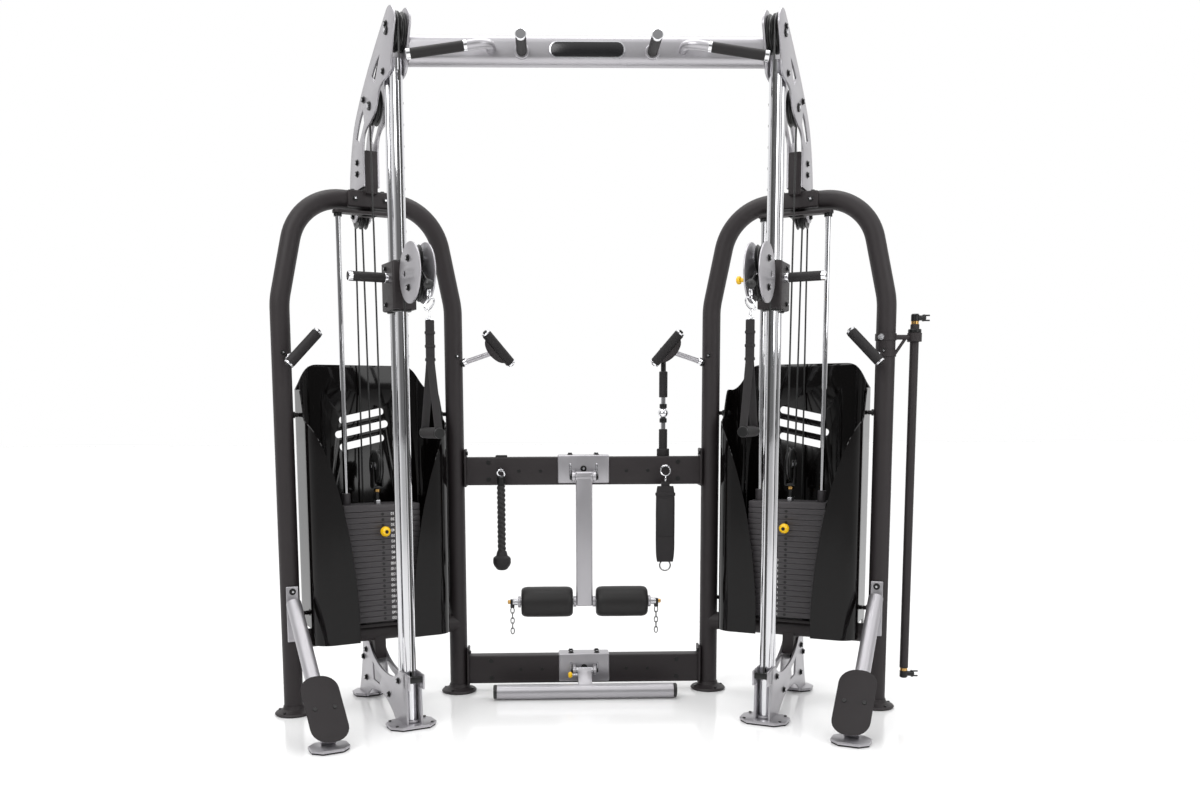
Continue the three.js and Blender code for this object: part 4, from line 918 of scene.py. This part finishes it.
def pulley_head(side):
    """Two discs on a swivel tube, two guide wheels and the cable's short end."""
    piece = Piece(side + "_head")
    rim = arc((DISC_Y, HEAD_Z), DISC_R, 0, 354, 59)
    for out in (-1, 1):
        low, high = sorted((out * CHEEK_IN, out * (CHEEK_IN + 5)))
        holes = [arc((DISC_Y + 46, HEAD_Z), 9, 0, 340, 17)]
        piece.add(plate([rim, *holes], low, high, "x", 1.2), SILVER)
    rear = DISC_Y + DISC_R - 2.8
    piece.add(rod((0, rear - 34, HEAD_Z), (0, rear, HEAD_Z), 12, 1), STEEL)
    piece.add(block((-20.5, 20.5), (rear - 32, rear - 8), (HEAD_Z - 10, HEAD_Z + 10), 2), BLACK_STEEL)
    for z in (HEAD_Z - 42, HEAD_Z + 42):
        axle = (DISC_Y + 8, z)
        wheel(piece, 0, axle, SMALL_WHEEL_R, 5)
        piece.add(rod((-29, *axle), (29, *axle), 6, 0.6), STEEL)
        for out in (-1, 1):
            piece.bolt((out * 25, *axle), (out, 0, 0), 8)
    knee = Vector((0, DISC_Y - 46, HEAD_Z - 4))
    ball = Vector((0, *BALL))
    toward = (knee - ball).normalized()
    path = [Vector((0, rear - 20, HEAD_Z)), Vector((0, DISC_Y - 30, HEAD_Z - 0.5)), knee, ball + toward * 15.3]
    piece.add(sweep(path, CABLE_R, 12), CABLE)
    piece.add(ring(ball + toward * 15.2, ball + toward * 24, 6.5, 3.2), BLACK_STEEL)
    return piece


def strap_handle(side):
    """Stop ball, snap hook, D-ring, bunched webbing and a foam grip."""
    piece = Piece(side + "_strap_handle")
    y, z = BALL
    turns = [(15 * math.cos(math.radians(a)), 15 * math.sin(math.radians(a))) for a in range(-90, 91, 10)]
    piece.add(lathe([(max(r, 0), h) for r, h in turns], (0, y, z)), NYLON)
    piece.add(torus((0, y, z - 24), (1, 0, 0), 10, 2.6, 1.2), CHROME)
    piece.add(torus((0, y, z - 55), (0.3, 1, 0), 11, 2.6, 2.0), CHROME)
    piece.add(rod((0, y, z - 34), (0, y, z - 42), 5.5, 1), CHROME)
    piece.add(torus((0, y, 1264), (1, 0.4, 0), 12, 2.6, 0.9), CHROME)
    piece.add(rod((-13, y, 1254), (13, y, 1254), 3, 0.5), CHROME)
    for k in range(3):
        top = 1252 - 38 * k
        points = [(-13, y - 5, top - 34), (13, y + 5, top)]
        piece.add(block((-13, 13), (y - 5 + k % 2, y + 4 + k % 2), (top - 34, top), 3, 3), WEBBING)
        piece.add(block((-14.5, 14.5), (y - 6, y + 6), (points[0][2] - 6, points[0][2] + 3), 2, 2), WEBBING)
    for out in (-1, 1):
        path = [(0, y + out * 2, 1150), (0, y + out * 3, 1134), (0, y + out * 30, 1036), (0, y + out * 57, GRIP_Z + 4)]
        flat = Matrix.Diagonal((2.5, 1, 1, 1))
        piece.add(sweep(path, 4.8, 12), WEBBING, flat)
        piece.add(rod((0, y + out * 58, GRIP_Z), (0, y + out * 66, GRIP_Z), 15.5, 1.5), BLACK_STEEL)
    piece.add(rod((0, y - 58, GRIP_Z), (0, y + 58, GRIP_Z), 16, 2), RUBBER)
    return piece


# ---- towers: step and grips --------------------------------------------------------------------------------------
def step(side):
    """A silver strut from the leg to a floor flange, with a black footplate on it."""
    piece = Piece(side + "_step")
    piece.add(block((LEG_X - 20, LEG_X + 20), (-38, -31.3), (249, 432), 3, 3), SILVER)
    piece.bolt((LEG_X, -38, 415), (0, -1, 0), 8)
    top, foot = Vector((LEG_X, -37, 390)), Vector((LEG_X, -436, 20))
    along = (foot - top).normalized()
    up = Vector((0, along.z, -along.y))
    piece.add(rod(top + along * 16, foot - along * 2, 24, 1, 40), SILVER)
    middle = top + along * 452 + up * 45
    turn = Matrix((Vector((1, 0, 0)), along, up)).transposed().to_4x4()
    turn.translation = middle
    piece.add(plate([rounded(111, 228, 48)], -4, 1, "z", 1), SILVER, turn)
    piece.add(plate([rounded(115, 232, 50)], 0.5, 4.5, "z", 1.5), TREAD, turn)
    for x in (-30, 30):
        start = turn @ Vector((x, 0, 4))
        piece.add(rod(start, start + up * 2.5, 7, 0.8), BLACK_STEEL)
    piece.add(rod(top + along * 452, middle, 22, 1), SILVER)
    piece.add(plate([octagon(116, 96, (LEG_X, -436))], 5, 14, "z", 1.5), SILVER)
    piece.add(plate([octagon(112, 92, (LEG_X, -436))], 0, 5.5, "z", 1), RUBBER)
    return piece


def leg_grip(side, which):
    """A slanted foam grip on a D-shaped holder, with its arm and collar."""
    leg_x, centre, slant = (LEG_X, Vector((246, -96, 1194)), -1) if which == "outer" else (-LEG_X, Vector((-421, -96, 1208)), 1)
    lean = math.radians(43)
    grip = Vector((slant * math.sin(lean), 0, math.cos(lean)))
    root = Vector((leg_x, 0, 1148))
    reach = (centre - root).normalized()
    back = root - centre
    back = (back - grip * back.dot(grip)).normalized()
    turn = Matrix((back.cross(grip), back, grip)).transposed().to_4x4()
    turn.translation = centre
    piece = Piece(f"{side}_{which}_grip")
    piece.add(rod((0, 0, -66), (0, 0, 66), 17, 2.5), RUBBER, turn)
    for end in (-1, 1):
        piece.add(rod((0, 0, end * 65), (0, 0, end * 72), 16.6, 1.5), CHROME, turn)
        piece.add(rod((0, 0, end * 71), (0, 0, end * 76.5), 8, 1.5, 6), BLACK_STEEL, turn)
    shell = [(4, 56), (4, -56), *curve((4, -56), (34, -50), (37, 0), steps=8), *curve((37, 0), (34, 50), (4, 56), steps=8)]
    piece.add(plate([shell], -10, 10, "x", 2), POWDER, turn)
    piece.add(rod(root + reach * 32, centre + back * 24, 9, 0.8), SILVER)
    piece.add(rod(root + reach * 31, root + reach * 38, 14, 1), BLACK_STEEL)
    piece.add(rod(root + reach * 38, root + reach * 52, 13, 1.5), CHROME)
    return piece


# ---- pieces between the towers ---------------------------------------------------------------------------------------
def towers_clear(shape, face_x):
    """The shape without what lies beyond each tower's inner side plate."""
    points, faces = shape
    cut = bmesh.new()
    corners = [cut.verts.new(p) for p in points]
    for face in faces:
        cut.faces.new([corners[i] for i in face])
    for side in ("right", "left"):
        to_centre = CENTRE.inverted() @ TOWERS[side]
        at = to_centre @ (Vector((face_x, 0, 0)) / 1000) * 1000
        outward = to_centre.to_3x3() @ Vector((1, 0, 0))
        sliced = bmesh.ops.bisect_plane(
            cut, geom=cut.verts[:] + cut.edges[:] + cut.faces[:], plane_co=at, plane_no=outward, clear_outer=True
        )
        rim = [part for part in sliced["geom_cut"] if isinstance(part, bmesh.types.BMEdge)]
        bmesh.ops.contextual_create(cut, geom=rim)
    cut.verts.index_update()
    result = [v.co.copy() for v in cut.verts], [[v.index for v in face.verts] for face in cut.faces]
    cut.free()
    return result


def top_beam():
    """The oval pull-up beam, two pegs, two swept grips and a blank badge."""
    piece = Piece("top_beam_look")
    oval = rounded(52, 88, 25.5, (0, BEAM_Z))
    piece.add(towers_clear(plate([oval], -586, 586, "x", 0.3), -27.4), SILVER)
    for side in (-1, 1):
        x = side * 193
        piece.add(rod((x, -20, 2045), (x, -34, 2045), 22, 2), SILVER)
        piece.add(rod((x, -32, 2045), (x, -166, 2045), 15.5, 1.5), RUBBER)
        piece.add(rod((x, -164, 2045), (x, -176, 2045), 16, 2), CHROME)
        start, knee, end = Vector((side * 284, -20, 2053)), Vector((side * 296, -78, 2052)), Vector((side * 524, -112, 2008))
        bend = [start, Vector((side * 284, -46, 2053))]
        bend += [Vector(p) for p in curve(bend[1], (side * 284, -76, 2053), (side * 322, -84, 2047), steps=8)]
        toward = (end - bend[-1]).normalized()
        piece.add(sweep([*bend, bend[-1] + toward * 30], 14, 24), SILVER)
        piece.add(rod(bend[-1] + toward * 28, bend[-1] + toward * 40, 15.2, 1.5), CHROME)
        piece.add(rod(bend[-1] + toward * 39, end - toward * 14, 14.8, 1.5), RUBBER)
        piece.add(rod(end - toward * 15, end - toward, 15.2, 2), CHROME)
    piece.add(plate([rounded(224, 50, 24, (0, BEAM_Z - 2))], -29.5, -25, "y", 1), STEEL)
    piece.add(plate([rounded(216, 42, 20, (0, BEAM_Z - 2))], -30.6, -29, "y", 0.6), EMBLEM)
    return piece


def crossbar(piece, z, height):
    """A powder-coated bar with a bolted saddle plate at each end."""
    low, high = z - height / 2, z + height / 2
    piece.add(block((-BAR_END + 4, BAR_END - 4), (BAR_FRONT, BAR_FRONT + 50), (low, high), 5, 3), POWDER)
    for end in (-1, 1):
        x = sorted((end * BAR_END, end * (BAR_END - 8)))
        piece.add(block(x, (BAR_FRONT - 7, BAR_FRONT + 57), (low - 6, high + 28), 2.5), POWDER)
        for level in (low + 20, high - 18):
            piece.bolt((end * (BAR_END - 8), BAR_FRONT - 1, high + 14), (-end, 0, 0), 7)
            piece.add(rod((end * 330, BAR_FRONT + 1, level), (end * 330, BAR_FRONT - 1.5, level), 8, 0.5), BLACK_STEEL)
    for x in (-225, 225, -150, 150):
        piece.add(rod((x, BAR_FRONT + 1, z), (x, BAR_FRONT - 0.8, z), 6, 0.3), BLACK_STEEL)


def clamp(piece, z, height):
    """The silver clamp round the middle of a bar."""
    piece.add(block((-90, 90), (BAR_FRONT - 7, BAR_FRONT + 57), (z - height / 2 + 6, z + height / 2 + 7), 5, 3), SILVER)
    piece.bolt((0, BAR_FRONT - 7, z + 8), (0, -1, 0), 8)
    for x in (-46, 46):
        for y in (BAR_FRONT + 8, BAR_FRONT + 44):
            piece.bolt((x, y, z + height / 2 + 7), (0, 0, 1), 7)
        piece.add(rod((x, BAR_FRONT - 8, z - 14), (x, BAR_FRONT - 8, z + 26), 4, 2), STEEL)


def upper_crossbar():
    piece = Piece("upper_crossbar_look")
    crossbar(piece, 787, 97)
    clamp(piece, 787, 97)
    for out in (-36, 36):
        ear = [(BAR_FRONT + 2, 790), (BAR_FRONT + 2, 748), (ARM_Y, 748), *arc((ARM_Y, ARM_PIVOT_Z), 18, 270, 90, 10), (ARM_Y, 790)]
        piece.add(plate([ear], out - 5, out + 5, "x"), SILVER)
        piece.bolt((out * 1.14, ARM_Y, ARM_PIVOT_Z), (out, 0, 0), 10)
    piece.add(block((ROPE[0] - 20, ROPE[0] + 20), (BAR_FRONT + 4, BAR_FRONT + 46), (832, 842), 3, 3), RUBBER)
    piece.add(rod((ROPE[0], BAR_FRONT + 2, 792), (ROPE[0], ROPE[1] - 11, 792), 5.5, 1), STEEL)
    piece.add(torus((ROPE[0], ROPE[1], 782), (0, 1, 0.2), 11, 3, 1.2), CHROME)
    piece.add(rod((ROPE[0], ROPE[1], 740.5), (ROPE[0], ROPE[1], 770), 13.5, 2), BLACK_STEEL)
    piece.add(rod((STRAP_X, BAR_FRONT + 2, STRAP_HOOK_Z), (STRAP_X, ROPE[1] - 13, STRAP_HOOK_Z), 5.8, 1), STEEL)
    piece.add(rod((STRAP_X, ROPE[1] - 13, STRAP_HOOK_Z), (STRAP_X, ROPE[1] - 15, STRAP_HOOK_Z), 7, 0.6), BLACK_STEEL)
    top = 787 + 97 / 2
    piece.add(ring((*CURL, top - 1), (*CURL, top + 26), 22, 15.9, 2), RUBBER)
    piece.add(rod((*CURL, top - 1), (*CURL, top + 4), 20, 0.5), RUBBER)
    return piece


def lower_crossbar():
    piece = Piece("lower_crossbar_look")
    crossbar(piece, 82, 100)
    clamp(piece, 82, 100)
    for out in (-36, 36):
        ear = [(BAR_FRONT + 2, 102), (BAR_FRONT + 2, 70), (352, 70), *arc((352, 86), 15, 270, 90, 10), (352, 102)]
        piece.add(plate([ear], out - 5, out + 5, "x"), SILVER)
        piece.bolt((out * 1.14, 352, 86), (out, 0, 0), 8)
    return piece


def chain(piece, x, top):
    """Links that hang one in another, turned a quarter each time."""
    for k in range(5):
        loop = [(6 * math.cos(t), 11 * math.sin(t)) for t in (2 * math.pi * step / 24 for step in range(24))]
        middle = Vector((x, ARM_Y, top - 10 - 18 * k))
        across = Vector((0, 1, 0)) if k % 2 else Vector((1, 0, 0))
        path = [middle + across * a + Vector((0, 0, b)) for a, b in loop]
        piece.add(sweep(path, 1.9, 8, closed=True), CHAIN)


def leg_arm():
    """The hanging arm with the rollers' axle, and a fork with a short chain at each end."""
    piece = Piece("leg_arm_look")
    piece.add(block((-28, 28), (ARM_Y - 19, ARM_Y + 19), (AXLE_Z - 14, ARM_PIVOT_Z + 18), 5, 3), SILVER)
    piece.add(rod((-30.5, ARM_Y, ARM_PIVOT_Z), (30.5, ARM_Y, ARM_PIVOT_Z), 19.5, 1.5), SILVER)
    piece.add(rod((-250, ARM_Y, AXLE_Z), (250, ARM_Y, AXLE_Z), 11.8), STEEL)
    for out in (-1, 1):
        piece.add(ring((out * 28, ARM_Y, AXLE_Z), (out * 38, ARM_Y, AXLE_Z), 19, 12, 1), SILVER)
        piece.add(ring((out * 222, ARM_Y, AXLE_Z), (out * 231, ARM_Y, AXLE_Z), 20, 12, 1), SILVER)
        piece.add(ring((out * 240, ARM_Y, AXLE_Z), (out * 258, ARM_Y, AXLE_Z), 9, 4), BLACK_STEEL)
        piece.add(rod((out * 250, ARM_Y, AXLE_Z), (out * 267, ARM_Y, AXLE_Z), 7, 1), BRASS)
        for y in (-7, 7):
            piece.add(block((out * 251 - 7, out * 251 + 7), (ARM_Y + y - 2, ARM_Y + y + 2), (AXLE_Z - 20, AXLE_Z + 9), 1.5), BLACK_STEEL)
        chain(piece, out * 251, AXLE_Z - 20)
    return piece


def roller(side):
    """A firm foam roller with soft shoulders and a sunken face round its axle."""
    mirror = -1 if side == "left" else 1
    profile = [(12.8, -84), (20, -85), (30, -90), (41, -89.5), (47, -86), (51, -79), (52.6, -68), (53, 0)]
    profile += [(r, -h) for r, h in reversed(profile[:-1])] + [(12.8, -84)]
    piece = Piece(side + "_foam_roller").add(lathe(profile, (mirror * 130, ARM_Y, AXLE_Z), (1, 0, 0), 2 * SMOOTH), FOAM)
    return piece


def foot_bar():
    """The folding foot bar with black end caps, its neck and a yellow pull pin."""
    piece = Piece("foot_bar_look")
    piece.add(rod((-306, 290, 29), (306, 290, 29), 25, 1, 48), SILVER)
    for out in (-1, 1):
        piece.add(rod((out * 305, 290, 29), (out * 318, 290, 29), 24.6, 3), NYLON)
    piece.add(rod((-30, 352, 86), (30, 352, 86), 12), STEEL)
    neck = [(362, 96), (340, 96), *curve((340, 96), (300, 72), (282, 50), steps=6), (300, 34), *curve((300, 34), (340, 52), (362, 78), steps=6)]
    piece.add(plate([neck], -24, 24, "x", 2), SILVER)
    piece.add(rod((-24, 330, 76), (-44, 330, 76), 5), STEEL)
    piece.add(lathe([(0, 0), (8, 0), (11, 4), (11, 10), (7, 14), (0, 14)], (-58, 330, 76), (1, 0, 0)), YELLOW)
    return piece


def ankle_strap():
    """A padded cuff that hangs by its ring, with a stitched hem and a loose lower ring."""
    piece = Piece("ankle_cuff")
    x, y = STRAP_X, ROPE[1]
    piece.add(torus((x, y, STRAP_HOOK_Z - 8), (0, 1, 0), 17.2, 2.8), CHROME)
    piece.add(torus((x, y, STRAP_HOOK_Z - 38), (1, 0, 0), 9, 2.4, 1.3), CHROME)
    piece.add(block((x - 15, x + 15), (y - 4, y + 4), (728, STRAP_HOOK_Z - 46), 3, 3), WEBBING)
    points, faces = [], []
    rows, columns = 26, 10
    for i in range(rows + 1):
        z = 734 - 264 * i / rows
        narrow = 33 - 5 * (abs(i / rows - 0.5) * 2) ** 6
        bow = 1.2 * math.sin(7 * i / rows * math.pi)
        for k in range(2 * columns):
            angle = math.pi * k / columns
            across = narrow * math.copysign(abs(math.cos(angle)) ** 0.45, math.cos(angle))
            thick = 8.5 * math.copysign(abs(math.sin(angle)) ** 0.6, math.sin(angle))
            points.append((x + across, y + thick + bow * 0.7, z))
    stride = 2 * columns
    for i in range(rows):
        for k in range(stride):
            after = (k + 1) % stride
            faces.append([i * stride + k, i * stride + after, (i + 1) * stride + after, (i + 1) * stride + k])
    faces.append(list(range(stride)))
    faces.append([rows * stride + k for k in range(stride)])
    piece.add((points, faces), WEBBING)
    piece.add(block((x - 27, x + 27), (y - 10, y - 7), (560, 690), 1.4), WEBBING)
    piece.add(block((x - 34, x + 34), (y - 9.5, y + 9.5), (700, 712), 2.5), WEBBING)
    piece.add(torus((x, y, 457), (0, 1, 0), 18.6, 2.6), CHAIN)
    return piece


def curl_bar():
    """Two rubber grips with a chrome ball swivel between them and a fork on top."""
    x, y = CURL
    piece = Piece("curl_bar_look")
    piece.add(rod((x, y, 839.8), (x, y, 930), 14.8, 2), RUBBER)
    piece.add(rod((x, y, 928), (x, y, 1042), 9), CHROME)
    balls = [(19 * math.cos(math.radians(a)), 19 * math.sin(math.radians(a))) for a in range(-60, 61, 10)]
    piece.add(lathe([(0, balls[0][1]), *balls, (0, balls[-1][1])], (x, y, 985)), CHROME)
    piece.add(rod((x, y, 952), (x, y, 968), 13, 2), BLACK_STEEL)
    piece.add(rod((x, y, 1002), (x, y, 1018), 13, 2), BLACK_STEEL)
    piece.add(rod((x, y, 1040), (x, y, 1130), 14.8, 2), RUBBER)
    piece.add(rod((x, y, 1128), (x, y, 1186), 9), BLACK_STEEL)
    piece.add(block((x - 12.8, x + 12.8), (y - 5, y + 5), (1184, 1194), 2), BLACK_STEEL)
    for side in (-8, 8):
        piece.add(rod((x + side, y, 1190), (x + side, y, 1211.5), 4), BLACK_STEEL)
    return piece


def long_bar():
    """A long bar with a swivel fork and brass-coloured bush at each end."""
    x, y = LONG_BAR
    piece = Piece("long_bar_look")
    piece.add(rod((x, y, 132), (x, y, 1268), 14, 1.5), POWDER)
    piece.add(ring((x, y, HOLDER_Z + 14.5), (x, y, HOLDER_Z + 26), 21, 14, 1.5), BLACK_STEEL)
    for z in (112, 1288):
        low, high = sorted((z, z + (22 if z < 700 else -22)))
        piece.add(rod((x, y, low), (x, y, high), 12, 1.5), BRASS)
        piece.add(rod((x, y, z - 13), (x, y, z + 13), 13, 3), BLACK_STEEL)
        piece.add(rod((x, y, z), (x + 34, y, z), 8.5, 1), BLACK_STEEL)
        for side in (-1, 1):
            piece.add(block((x + 28, x + 48), (y - 2, y + 2), (z + side * 8 - 2.5, z + side * 8 + 2.5), 1), BLACK_STEEL)
        piece.add(block((x + 24, x + 31), (y - 7, y + 7), (z - 11, z + 11), 2), BLACK_STEEL)
    return piece


# ---- assembly -------------------------------------------------------------------------------------------------------------
def dress_tower(side):
    """Every piece of one tower, on the body that carries it."""
    matrix = TOWERS[side]

    def put(piece, body, node, slot):
        return piece.place(matrix, body, [f"{side}_{node}"], slot)

    put(arch_frame(side), "frame", "arch_frame", "black_powder_coat")
    put(top_plate(side, "outer"), "frame", "top_plate_outer", "silver_plate")
    put(top_plate(side, "inner"), "frame", "top_plate_inner", "silver_plate")
    put(column_base(side), "frame", "column_base", "silver_plate")
    put(column(side), "frame", "column", "chrome_tube")
    put(guide_tube(side), "frame", "guide_tube", "chrome_tube")
    put(guide_rods(side), "frame", "guide_rods", "chrome_tube")
    put(shroud(side), "frame", "shroud", "gloss_shroud")
    put(weight_plates(side), "frame", "weight_plates", "iron_plate")
    put(head_plate(side), side + "_lifted_stack", "head_plate", "iron_plate")
    put(selector_pin(side), side + "_selector", "selector_pin", "yellow_knob")
    put(column_cable(side), "frame", "column_cable", "coated_cable")
    put(rear_run(side), "frame", "stack_cable", "coated_cable")
    loop = stack_loop(side).place(matrix, "frame", [f"{side}_stack_cable"], "coated_cable")
    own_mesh(loop)

    floating = Piece(side + "_floating_wheel")
    wheel(floating, 0, (STACK_Y, FLOAT_Z), WHEEL_R)
    put(floating, side + "_travelling_wheel", "floating_pulley", "black_nylon")
    pair = Piece(side + "_top_wheels")
    arch_pair = Piece(side + "_arch_wheels")
    for x in (-PAIR_X, PAIR_X):
        wheel(pair, x, TOP_AXLE, WHEEL_R)
        wheel(arch_pair, x, ARCH_AXLE, SMALL_WHEEL_R)
    put(pair, side + "_top_wheels", "top_pulleys", "black_nylon")
    put(arch_pair, side + "_arch_wheels", "arch_pulleys", "black_nylon")
    middle_wheel = Piece(side + "_middle_wheel")
    wheel(middle_wheel, PAIR_X, MID_AXLE, WHEEL_R)
    put(middle_wheel, side + "_middle_wheel", "middle_pulley", "black_nylon")

    put(carriage(side), side + "_slider", "carriage", "black_powder_coat")
    put(lock_pin(side), side + "_lock_pin", "carriage_pin", "yellow_knob")
    put(pulley_head(side), side + "_head", "pulley_head", "silver_plate")
    put(strap_handle(side), side + "_handle", "strap_handle", "webbing")
    put(step(side), "frame", "step", "silver_plate")
    put(leg_grip(side, "outer"), "frame", "outer_grip", "grip_rubber")
    put(leg_grip(side, "inner"), "frame", "inner_grip", "grip_rubber")


def dress_middle():
    """The beam, the bars and what hangs from them."""
    top_beam().place(CENTRE, "frame", ["top_beam"], "silver_plate")
    upper_crossbar().place(CENTRE, "frame", ["upper_crossbar"], "black_powder_coat")
    lower_crossbar().place(CENTRE, "frame", ["lower_crossbar"], "black_powder_coat")
    leg_arm().place(CENTRE, "leg_arm", ["leg_arm"], "silver_plate")
    for side in ("left", "right"):
        made = roller(side).place(CENTRE, side + "_roller", [side + "_roller"], "roller_foam")
    foot_bar().place(CENTRE, "foot_bar", ["foot_bar"], "silver_plate")
    strap = ankle_strap().place(CENTRE, "ankle_strap", ["ankle_strap"], "webbing")
    curl_bar().place(CENTRE, "curl_bar", ["curl_bar"], "black_powder_coat")
    long_bar().place(CENTRE, "long_bar", ["long_bar"], "black_powder_coat")


add_camera()
triceps_rope()
for tower_side in ("right", "left"):
    dress_tower(tower_side)
dress_middle()
add_floor()
add_world()
add_light("key", (-2.5, -3.5, 3.8), (2.5, 2.5), 90)
add_light("fill", (3.2, -3.0, 2.6), (2.0, 2.5), 50)
add_light("top", (0, 0.4, 4.5), (4, 2), 60)
